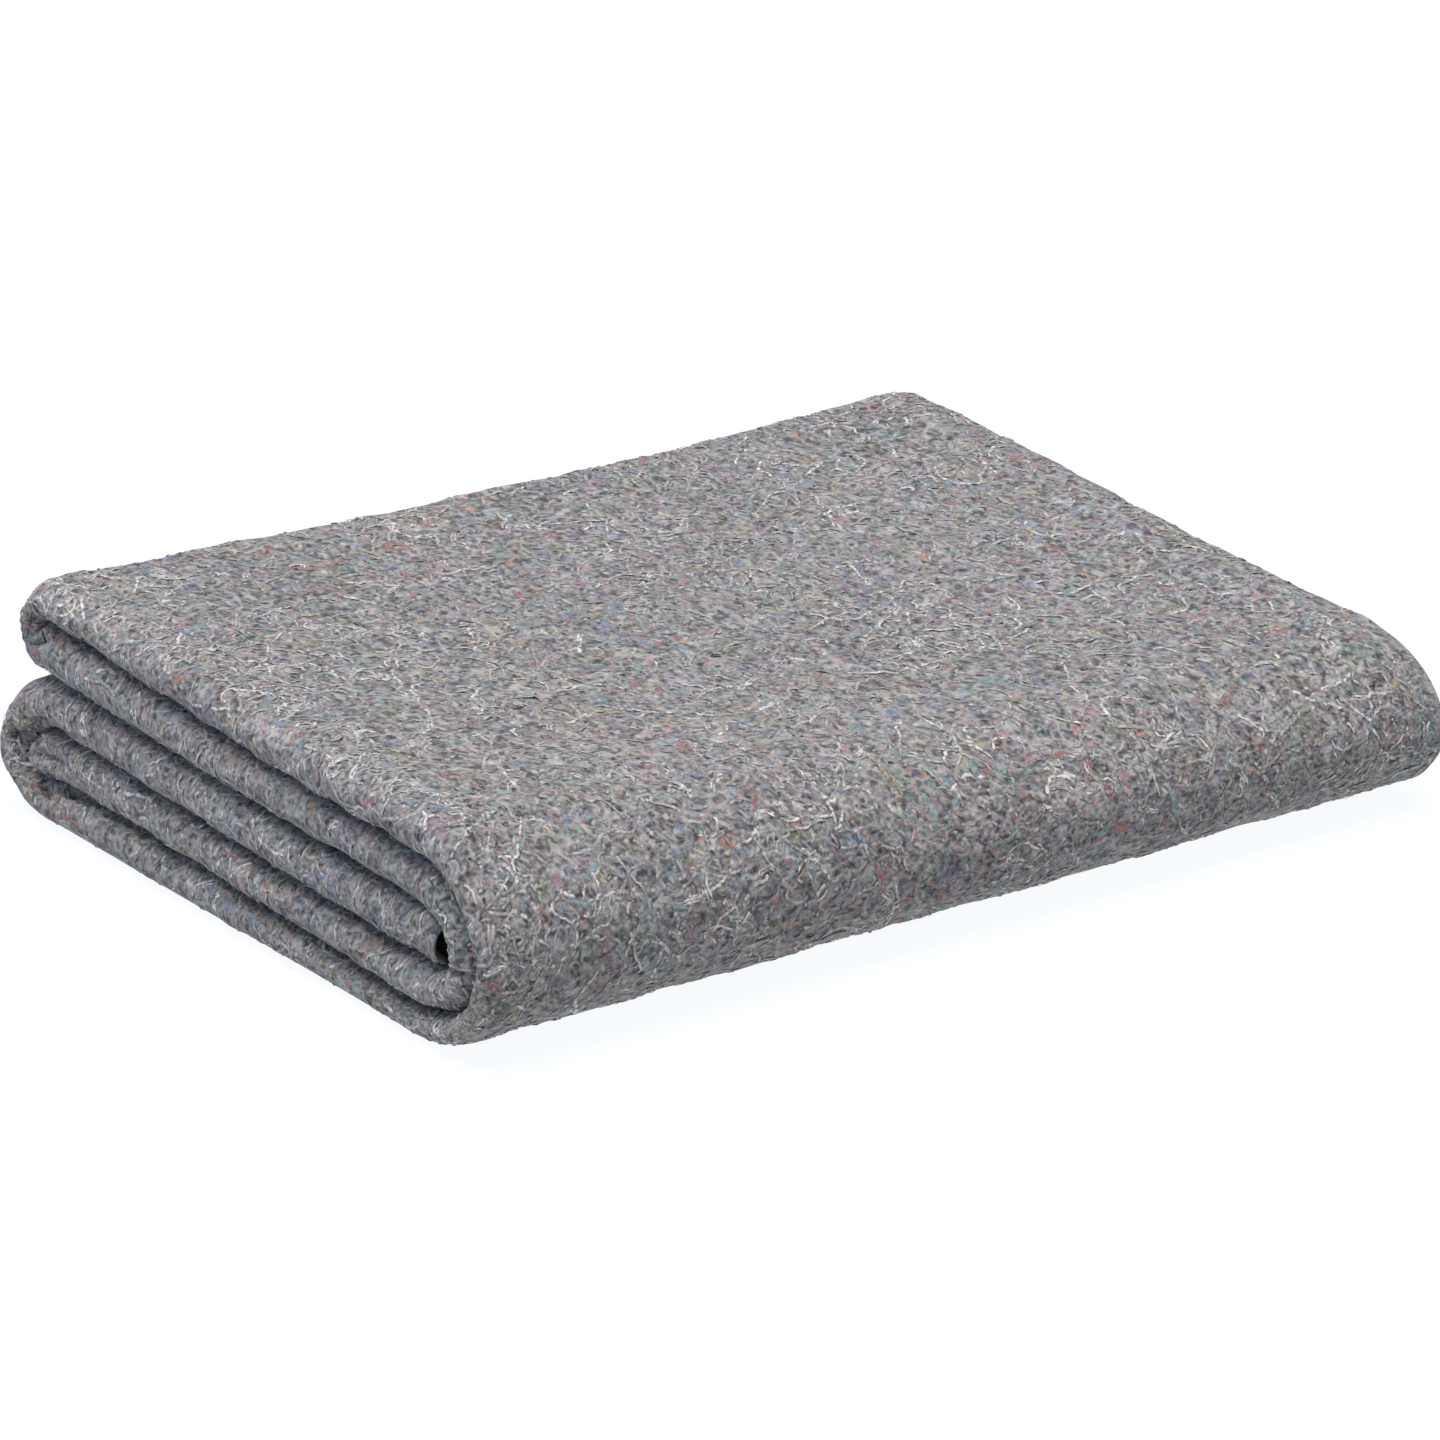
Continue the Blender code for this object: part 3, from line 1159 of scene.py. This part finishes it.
        back = grid[1, :, ::self.back_stride]
        rows, columns = grid.shape[1:3]
        index = np.arange(rows * columns).reshape(rows, columns)
        back_index = index.size + np.arange(back[..., 0].size).reshape(rows, -1)
        ends = back_index[-1, -1] + 1 + np.arange(2 * rows).reshape(rows, 2)
        points = [part.reshape(-1, 3) for part in (grid[0], back, self.edge_points(grid))]
        uv = np.stack(np.broadcast_arrays(across[None, :], along[:, None]), axis=-1)
        back_uv = uv[:, ::self.back_stride] + [self.inner_start, 0.0]
        edge_uv = uv[:, [0, -1]] + [[-self.edge_width, 0.0], [self.edge_width, 0.0]]
        cloth = np.concatenate([part.reshape(-1, 2) for part in (uv, back_uv, edge_uv)])
        faces = self.faces(index, back_index, ends)
        mesh = make_mesh(
            NODE + "_sheet", np.concatenate(points), faces,
            {CLOTH_UV: self.cloth_map(faces, cloth),
             BAKE_UV: self.bake_map(faces, cloth, parts, travel)})
        piece = add_piece(mesh, self.finish.material("recycled_felt"))
        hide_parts(NODE)
        return piece, Face(grid[0], face_normals(grid[0]), across, along, parts, travel)

    def edge_points(self, grid: np.ndarray) -> np.ndarray:
        """Give the line along the middle of each cut edge, pushed out by a quarter thickness.

        Args:
            grid: Points of both faces.

        Returns:
            Points by row and edge.
        """
        sides = []
        for column, inward in ((0, 1), (-1, -2)):
            middle = grid[:, :, column].mean(axis=0)
            out = unit(middle - grid[:, :, inward].mean(axis=0))
            sides.append(middle + self.edge_round * out)
        return np.stack(sides, axis=1)

    def faces(self, face: np.ndarray, back: np.ndarray, ends: np.ndarray) -> list[np.ndarray]:
        """Give the sheet's faces: both sides, two rounded cut edges, and two flat ones.

        Args:
            face: Point numbers of the outer face by row and column.
            back: The same of the inner face, which has fewer columns.
            ends: The same of the lines along both rounded edges.

        Returns:
            Arrays of faces, the outer face first and the inner one second.
        """
        def quads(first: np.ndarray, second: np.ndarray) -> np.ndarray:
            """Join two lines of points that run the same way."""
            return np.stack([first[:-1], first[1:], second[1:], second[:-1]], axis=-1)

        outer = quads(face[:, :-1], face[:, 1:])
        inner = np.stack([back[:-1, :-1], back[:-1, 1:], back[1:, 1:], back[1:, :-1]], axis=-1)
        edges = [quads(ends[:, 0], face[:, 0]), quads(back[:, 0], ends[:, 0]),
                 quads(face[:, -1], ends[:, 1]), quads(ends[:, 1], back[:, -1])]
        stretch = np.arange(len(back[0]) - 1)[:, None] * self.back_stride
        stretch = stretch + np.arange(self.back_stride + 1)
        cap = np.concatenate([face[0][stretch], back[0, 1:, None], back[0, :-1, None]], axis=1)
        far_cap = np.concatenate([
            back[-1, :-1, None], back[-1, 1:, None], face[-1][stretch][:, ::-1]], axis=1)
        corners = np.array([
            [back[0, 0], ends[0, 0], face[0, 0]], [face[0, -1], ends[0, 1], back[0, -1]],
            [face[-1, 0], ends[-1, 0], back[-1, 0]], [back[-1, -1], ends[-1, 1], face[-1, -1]]])
        return [outer.reshape(-1, 4), inner.reshape(-1, 4), *edges, cap, far_cap, corners]

    def cloth_map(self, faces: list[np.ndarray], cloth: np.ndarray) -> list[np.ndarray]:
        """Give the cloth's coordinates at the faces' corners; cut edges go on from the outer face.

        Args:
            faces: The sheet's faces.
            cloth: Distances across and along of each point.

        Returns:
            Coordinates at the corners of each array of faces.
        """
        corners = [cloth[part] for part in faces]
        for part, step in zip(corners[2:], (0, 0, 0, 0, -1, 1, 0)):
            inner = part[..., 0] > self.inner_start - 0.5
            part[..., 0] -= inner * self.inner_start
            part[..., 1] += inner * step * self.edge_height
        return corners

    def bake_map(self, faces: list[np.ndarray], cloth: np.ndarray, parts: np.ndarray,
                 travel: np.ndarray) -> list[np.ndarray]:
        """Lay the faces out for a baked picture, with what shows at full size.

        Each stage of the route is cut at each part of the packet. A patch's coordinates are its
        distances on the cloth times its scale, and the patches stand in rows on one square.

        Args:
            faces: The sheet's faces.
            cloth: Distances across and along of each point.
            parts: Part of each column.
            travel: Share of the route of each row.

        Returns:
            Coordinates at the corners of each array of faces.
        """
        row, column = np.divmod(faces[0][:, 0], len(parts))
        part = parts[column]
        stage = np.minimum((travel * STAGES + 1e-6).astype(int), STAGES - 1)[row]
        scale = np.where(np.isin(part, (Part.RIDGE.value, Part.LOOP.value)), 1.0, self.hidden_scale)
        outer = part == Part.OUTER_PLY.value
        scale[outer & (stage >= 1) & (stage <= 5)] = 1.0
        scale[outer & (stage == 2)] = self.under_scale
        # the outer ply's front, top and upper back lie on one patch, with the bottom's under ply
        top = outer & (stage >= 3) & (stage <= 5)
        group = np.where(top, Part.UNDER_PLY.value * STAGES + 2, part * STAGES + stage)
        patches = [(0, group == name, cloth[faces[0][group == name]] * scale[group == name].max())
                   for name in np.unique(group)]
        patches.append((1, slice(None), cloth[faces[1]] * self.hidden_scale))
        patches += [(place, slice(None), self.strip_corners(*faces[place].shape))
                    for place in range(2, len(faces))]
        return self.pack(patches, faces)

    def strip_corners(self, count: int, corners: int) -> np.ndarray:
        """Lay a narrow strip's faces side by side, the corners of each on an oval.

        Args:
            count: How many faces it has.
            corners: How many corners each has.

        Returns:
            Coordinates of the corners of each face.
        """
        turn = np.linspace(0, 2 * math.pi, corners, endpoint=False) + math.pi / corners
        length, width = self.strip_size
        shape = np.stack([length / 2 - length / 2 * np.cos(turn),
                          width / 2 - width / 2 * np.sin(turn)], axis=1)
        step = np.arange(count)[:, None] * length
        return shape[None] + np.stack([step, 0 * step], axis=-1)

    def pack(self, patches: list[tuple], faces: list[np.ndarray]) -> list[np.ndarray]:
        """Stand all patches in rows on a square, tallest first.

        Args:
            patches: For each, the number of its array of faces, which faces, and their corners.
            faces: The arrays of faces.

        Returns:
            Coordinates from 0 to 1 at the corners of each array.
        """
        boxes = []
        for place, mine, corners in patches:
            corners = corners - corners.min(axis=(0, 1))
            size = corners.max(axis=(0, 1))
            if size[0] > size[1]:
                corners, size = corners[..., ::-1], size[::-1]
            boxes.append((size + self.patch_margin, corners, place, mine))
        boxes.sort(key=lambda box: -box[0][1])
        width = math.sqrt(sum(box[0][0] * box[0][1] for box in boxes)) * self.patch_slack
        result = [np.zeros((*part.shape, 2)) for part in faces]
        x = y = shelf = 0.0
        for size, corners, place, mine in boxes:
            if x and x + size[0] > width:
                x, y, shelf = 0.0, y + shelf, 0.0
            result[place][mine] = corners + [x + self.patch_margin / 2, y + self.patch_margin / 2]
            x, shelf = x + size[0], max(shelf, size[1])
        side = max(width, y + shelf, max(box[0][0] for box in boxes))
        return [part / side for part in result]


# --- Yarns ---


class Place(Enum):
    """Where on the sheet's outer face yarns lie."""

    OPEN_FACE = "front, top and upper back"
    BACK_NOSE = "lower back fold"
    RIDGES = "ridges at the left"
    LOOPS = "loops at the right"


@dataclass(frozen=True)
class YarnSort:
    """One sort of yarn: its finish, how many there are, and how large and crooked they are."""

    name: str
    finish: YarnFinish
    count: int
    length: Pair
    width: Pair
    seed: int
    kink: float = 0.42
    steps: int = 12
    strands: int = 1
    strand_gap: float = 0.0012
    clustered: float = 0.5
    stray: float = 0.55  # how far it strays from the way round a ridge or nose
    place: Place | None = None  # where all of them lie, if not everywhere


@dataclass
class Yarns:
    """Loose yarns half sunk in the felt's outer face."""

    face: Face
    shares: dict[Place, float] = field(default_factory=lambda: {
        Place.OPEN_FACE: 0.62, Place.BACK_NOSE: 0.05, Place.RIDGES: 0.29, Place.LOOPS: 0.04})
    open_stages: Pair = (2.95, 6.0)
    nose_stages: Pair = (0.95, 2.05)
    cut_margin: float = 0.002  # least distance from a cut edge
    overlap: float = 0.004  # how far the yarns of the open face reach on to the ridges
    ridge_margin: float = 0.020
    loop_margin: float = 0.006
    hidden_share: float = 0.2  # share of those two margins on their hidden side
    cluster_size: float = 0.012
    cluster_yarns: int = 12
    follow: float = 0.9  # how many yarns on a ridge or loop go round it
    front_follow: float = 0.6  # the same of those on the front
    front_reach: float = 0.07  # share of the route that the front takes, either way
    bend: float = 0.10
    gap_spread: float = 0.35  # how unevenly a yarn's strands lie apart
    lift: float = 0.00016  # height of a yarn's middle above the felt
    sink: float = 0.0012  # depth of its ends below the felt
    dip: float = 0.00022  # how far it wavers between both
    flatness: float = 0.12
    taper: float = 0.65
    ring: tuple[Pair, ...] = ((1.0, 0.0), (-0.6, 1.0), (-0.6, -1.0))  # up and aside, by corner
    clearance: float = 0.0016  # least height of a path above the floor
    floor_gap: float = 0.0003  # the same of a ring's corner

    def bounds(self, place: Place) -> tuple[float, float, float, float]:
        """Give the limits of a place on the cloth.

        Args:
            place: The place.

        Returns:
            The least and greatest distances across, and the least and greatest along.
        """
        face = self.face
        inside = {Place.RIDGES: Part.RIDGE, Place.LOOPS: Part.LOOP}.get(place, Part.OUTER_PLY)
        low, high = face.across[face.parts == inside.value][[0, -1]]
        stages = {Place.OPEN_FACE: self.open_stages, Place.BACK_NOSE: self.nose_stages}.get(place)
        if stages:
            start, end = np.interp(np.array(stages) / STAGES, face.travel, face.along)
            return low + self.cut_margin, high + self.overlap, start, end
        margin = self.ridge_margin if place is Place.RIDGES else self.loop_margin
        start, end = face.along[0] + self.cut_margin, face.along[-1] - self.cut_margin
        return low - margin, high + margin * self.hidden_share, start, end

    def paths(self, sort: YarnSort) -> list[np.ndarray]:
        """Draw the yarns' paths on the cloth.

        A path starts at random and goes on in equal steps. At each step its heading changes by a
        constant bend of its own and a random kink. It is mirrored at the edges of its place.

        Args:
            sort: The sort of yarn.

        Returns:
            Distances across, distances along, and widths, one row for each yarn.
        """
        chance = np.random.default_rng(sort.seed)
        drawn = []
        for place, share in ({sort.place: 1.0} if sort.place else self.shares).items():
            count = round(sort.count * share / sort.strands)
            low, high, start, end = self.bounds(place)
            x, y = self.starts(chance, sort.clustered, count, (low, high), (start, end))
            heading = chance.uniform(0, 2 * math.pi, count)
            turned = math.pi * chance.integers(0, 2, count) + chance.normal(0, sort.stray, count)
            if place in (Place.OPEN_FACE, Place.BACK_NOSE):
                travel = np.interp(y, self.face.along, self.face.travel)
                front = np.abs(travel - 3.5 / STAGES) < self.front_reach
                front = front & (chance.random(count) < self.front_follow)
                heading = np.where(front, turned + math.pi / 2, heading)
            else:
                heading = np.where(chance.random(count) < self.follow, turned, heading)
            length = self.spread(chance, sort.length, count)
            bend = chance.normal(0, self.bend, count)[:, None] * np.arange(sort.steps)
            kinks = chance.normal(0, sort.kink, (count, sort.steps))
            heading = heading[:, None] + bend + np.cumsum(kinks, 1)
            step = (length / sort.steps)[:, None]
            dx, dy = (np.concatenate([np.zeros((count, 1)), np.cumsum(step * part, 1)], 1)
                      for part in (np.cos(heading), np.sin(heading)))
            turn = np.concatenate([heading[:, :1], heading], 1)
            thick = self.spread(chance, sort.width, count)
            for strand in range(sort.strands):
                gap = sort.strand_gap * (strand - (sort.strands - 1) / 2)
                gap = gap * (1 + chance.normal(0, self.gap_spread, (count, sort.steps + 1)))
                px, py = x[:, None] + dx - gap * np.sin(turn), y[:, None] + dy + gap * np.cos(turn)
                drawn.append((self.mirrored(px, low, high), self.mirrored(py, start, end), thick))
        return [np.concatenate(rows) for rows in zip(*drawn)]

    def starts(self, chance: np.random.Generator, clustered: float, count: int, limits: Pair,
               reach: Pair) -> np.ndarray:
        """Give where yarns start: a share of them near one of some random middles.

        Args:
            chance: Source of random numbers.
            clustered: That share.
            count: How many yarns there are.
            limits: Least and greatest distance across.
            reach: Least and greatest distance along.

        Returns:
            Distances across and distances along.
        """
        low, high = np.array([limits, reach]).T
        middles = chance.uniform(low, high, (count // self.cluster_yarns + 1, 2))
        near = middles[chance.integers(0, len(middles), count)]
        near = near + chance.normal(0, self.cluster_size, (count, 2))
        grouped = chance.random((count, 1)) < clustered
        return np.where(grouped, near, chance.uniform(low, high, (count, 2))).T

    @staticmethod
    def spread(chance: np.random.Generator, limits: Pair, count: int) -> np.ndarray:
        """Give random sizes between two limits, more of them small than large."""
        return limits[0] * (limits[1] / limits[0]) ** chance.random(count)

    @staticmethod
    def mirrored(values: np.ndarray, low: float, high: float) -> np.ndarray:
        """Turn back values that pass a limit, as a mirror there would."""
        inside = np.abs(values - low) + low
        return np.clip(high - np.abs(high - inside), low, high)

    def build(self, sort: YarnSort) -> bpy.types.Object:
        """Make one piece of all yarns of a sort.

        Each yarn is a flat three-sided prism along its path. Its middle lies a little above the
        felt, its ends and some of its bends under it, and it thins towards its ends.

        Args:
            sort: The sort of yarn.

        Returns:
            The piece.
        """
        across, along, width = self.paths(sort)
        points, normals = self.face.at(across, along)
        keep = points[..., 2].min(axis=1) > self.clearance
        points, normals, width = points[keep], normals[keep], width[keep]
        chance = np.random.default_rng(sort.seed + 100)
        place = np.linspace(-1, 1, sort.steps + 1)
        dips = chance.normal(0, self.dip, points.shape[:2])
        dips = (dips + np.roll(dips, 1, axis=1)) * 0.7  # smoother, and spread about as widely
        height = self.lift - (self.lift + self.sink) * place**8 + dips
        points = points + normals * height[..., None]
        tangent = unit(np.gradient(points, axis=1) + 1e-9)
        side = unit(np.cross(normals, tangent))
        half = (width[:, None] / 2 * (1 - self.taper * np.abs(place) ** 6))[..., None]
        body = np.stack([points + normals * half * self.flatness * up + side * half * out
                         for up, out in self.ring], axis=2)
        body[..., 2] = np.maximum(body[..., 2], self.floor_gap)
        return self.piece(sort, body)

    def piece(self, sort: YarnSort, body: np.ndarray) -> bpy.types.Object:
        """Join the rings of all yarns and dress them.

        Args:
            sort: The sort of yarn.
            body: Points by yarn, ring and corner of the ring.

        Returns:
            The piece.
        """
        count, rings = body.shape[:2]
        index = np.arange(count * rings * 3).reshape(count, rings, 3)
        following = np.roll(index, -1, axis=2)
        sides = np.stack(
            [index[:, :-1], index[:, 1:], following[:, 1:], following[:, :-1]], axis=-1)
        caps = np.stack([index[:, 0], index[:, -1, ::-1]], axis=1)
        mesh = make_mesh(
            sort.name, body.reshape(-1, 3), [sides.reshape(-1, 4), caps.reshape(-1, 3)],
            {BAKE_UV: self.bake_map(count, rings), WIDTH_UV: self.width_map(count, rings)},
            smooth=False)
        return add_piece(mesh, sort.finish.material(sort.name + "_yarn"))

    @staticmethod
    def width_map(count: int, rings: int) -> list[np.ndarray]:
        """Give the corners' share of the way from a yarn's upper line to either side.

        Args:
            count: How many yarns there are.
            rings: How many rings each has.

        Returns:
            Coordinates at the corners of the sides, and of the ends.
        """
        shares = np.array([[0.0, 0.0, 1.0, 1.0], [1.0, 1.0, 1.0, 1.0], [1.0, 1.0, 0.0, 0.0]])
        sides = np.broadcast_to(shares[..., None], (count, rings - 1, 3, 4, 2))
        return [sides.reshape(-1, 4, 2), np.ones((count * 2, 3, 2))]

    @staticmethod
    def bake_map(count: int, rings: int) -> list[np.ndarray]:
        """Give each yarn a cell of its own on a square, its length up the cell.

        Args:
            count: How many yarns there are.
            rings: How many rings each has.

        Returns:
            Coordinates at the corners of the sides, and of the ends.
        """
        grid = math.ceil(math.sqrt(count))
        cell = np.stack(np.divmod(np.arange(count), grid), axis=1)[:, None, None, None] / grid
        up, out = np.linspace(0.08, 0.82, rings), np.linspace(0.08, 0.92, 4)
        low, high = up[:-1, None], up[1:, None]
        left, right = out[None, :-1], out[None, 1:]
        corners = [np.stack(np.broadcast_arrays(x, y), axis=-1)
                   for x, y in ((left, low), (left, high), (right, high), (right, low))]
        sides = cell + np.stack(corners, axis=2)[None] / grid
        triangle = np.array([[0.1, 0.90], [0.2, 0.90], [0.15, 0.96]])
        caps = cell[:, 0] + np.stack([triangle, triangle + [0.5, 0.0]])[None] / grid
        return [sides.reshape(-1, 4, 2), caps.reshape(-1, 3, 2)]


def coloured(name: str, colour: Colour, spread: float, count: int, length: Pair, width: Pair,
             seed: int, **more: float) -> YarnSort:
    """Give a sort of short, wide, frayed yarns of one colour, most of them in clusters."""
    finish = YarnFinish(colour, spread, feather=0.42)
    return YarnSort(name, finish, count, length, width, seed, clustered=0.6, **{"steps": 10} | more)


WHITE = YarnFinish((0.50, 0.485, 0.475), 0.40)
CREAM = YarnFinish((0.35, 0.336, 0.325), 0.35)
RIDGE_PALE = YarnFinish((0.40, 0.392, 0.40), 0.4, 0.40, 0.30)
GREY = YarnFinish((0.270, 0.264, 0.278), 0.4)
DARK = YarnFinish((0.030, 0.030, 0.036), 0.4)
YARNS: tuple[YarnSort, ...] = (
    YarnSort("white_yarns", WHITE, 760, (0.012, 0.050), (0.0014, 0.0025), 11, 0.32, 18),
    YarnSort("white_strands", WHITE, 640, (0.010, 0.030), (0.0013, 0.0019), 12, 0.34, strands=2),
    YarnSort("ridge_yarns", RIDGE_PALE, 340, (0.014, 0.030), (0.0014, 0.0022), 22, 0.09,
             clustered=0.6, stray=0.24, place=Place.RIDGES),
    YarnSort("pale_yarns", CREAM, 2200, (0.006, 0.040), (0.0014, 0.0024), 21, 0.34),
    YarnSort("grey_yarns", GREY, 1000, (0.004, 0.018), (0.0012, 0.0024), 13, 0.5, 9),
    YarnSort("dark_yarns", DARK, 1000, (0.003, 0.008), (0.0012, 0.0026), 14, 0.5, 6),
    coloured("red_yarns", (0.290, 0.105, 0.108), 0.35, 240, (0.005, 0.022), (0.0020, 0.0040), 15,
             kink=0.3),
    coloured("pink_yarns", (0.310, 0.215, 0.235), 0.3, 380, (0.005, 0.022), (0.0020, 0.0042), 16),
    coloured("teal_yarns", (0.175, 0.270, 0.268), 0.3, 360, (0.005, 0.022), (0.0020, 0.0042), 17),
    coloured("blue_yarns", (0.150, 0.200, 0.285), 0.4, 340, (0.005, 0.022), (0.0020, 0.0042), 18),
    coloured("yellow_yarns", (0.350, 0.320, 0.220), 0.3, 260, (0.005, 0.020), (0.0018, 0.0036), 19),
    coloured("orange_yarns", (0.330, 0.205, 0.140), 0.3, 120, (0.004, 0.014), (0.0018, 0.0036), 20,
             steps=8),
)


# --- Studio ---


def facing(azimuth: float, elevation: float) -> Vector:
    """Give the direction from the blanket to a place round it.

    Args:
        azimuth: Degrees round it, 0 in front and 90 at the left.
        elevation: Degrees above the floor.

    Returns:
        A vector of length one.
    """
    turn, rise = math.radians(azimuth), math.radians(elevation)
    flat = math.cos(rise)
    return Vector((-math.sin(turn) * flat, -math.cos(turn) * flat, math.sin(rise)))


def looking_back(azimuth: float, elevation: float, eye: Vector) -> Matrix:
    """Give the matrix of a camera or light at a place, turned as one that looks at the blanket."""
    turn = facing(azimuth, elevation).to_track_quat("Z", "Y").to_matrix().to_4x4()
    return Matrix.Translation(eye) @ turn


@dataclass(frozen=True)
class SoftSun:
    """A far, wide light: where it stands, how strong it is and its colour."""

    name: str
    azimuth: float
    elevation: float
    strength: float
    width: float
    colour: Colour
    distance: float = 3.0

    def build(self) -> None:
        """Add the light, aimed at the blanket."""
        light = bpy.data.lights.new(self.name, "SUN")
        light.energy, light.color = self.strength, self.colour
        light.angle = math.radians(self.width)
        eye = facing(self.azimuth, self.elevation) * self.distance
        put(light, looking_back(self.azimuth, self.elevation, eye))


@dataclass
class Studio:
    """Pale floor, even light and the camera of the photograph."""

    eye: tuple[float, float, float] = (-1.54795, -2.08512, 1.03775)
    azimuth: float = 36.679
    elevation: float = 21.081
    lens: float = 160.625
    sensor: float = 36.0
    clip: Pair = (0.05, 200.0)
    floor_size: float = 60.0
    floor: FloorFinish = field(default_factory=FloorFinish)
    sky: tuple[float, ...] = (0.90, 0.97, 1.12, 1.0)
    sky_strength: float = 0.225
    suns: tuple[SoftSun, ...] = (
        SoftSun("key_light", 60.0, 81.0, 5.1, 50.0, (1.0, 0.975, 0.95)),
        SoftSun("window_light", 97.0, 14.0, 0.62, 60.0, (0.66, 0.88, 1.30)),
    )

    def build(self) -> None:
        """Add the floor, the lights, the sky and the camera."""
        corners = np.array([[-1, -1, 0], [1, -1, 0], [1, 1, 0], [-1, 1, 0]]) * self.floor_size / 2
        mesh = make_mesh("studio_floor", corners, [np.array([[0, 1, 2, 3]])], {})
        mesh.materials.append(self.floor.material("pale_floor"))
        floor = put(mesh)
        for sun in self.suns:
            sun.build()
        world = bpy.data.worlds.new("studio_sky")
        world.use_nodes = True
        background = world.node_tree.nodes["Background"]
        background.inputs["Color"].default_value = self.sky
        background.inputs["Strength"].default_value = self.sky_strength
        bpy.context.scene.world = world
        camera = bpy.data.cameras.new("photo_camera")
        camera.lens, camera.sensor_width = self.lens, self.sensor
        camera.clip_start, camera.clip_end = self.clip
        matrix = looking_back(self.azimuth, self.elevation, Vector(self.eye))
        bpy.context.scene.camera = put(camera, matrix)


def main() -> None:
    """Build the studio, the sheet and its yarns."""
    logging.basicConfig(level=logging.INFO, format="%(name)s %(message)s")
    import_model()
    Studio().build()
    bpy.context.scene.view_settings.view_transform = "Standard"
    sheet, face = FeltSheet().build()
    yarns = Yarns(face)
    pieces = [yarns.build(sort) for sort in YARNS]


if __name__ == "__main__":
    main()
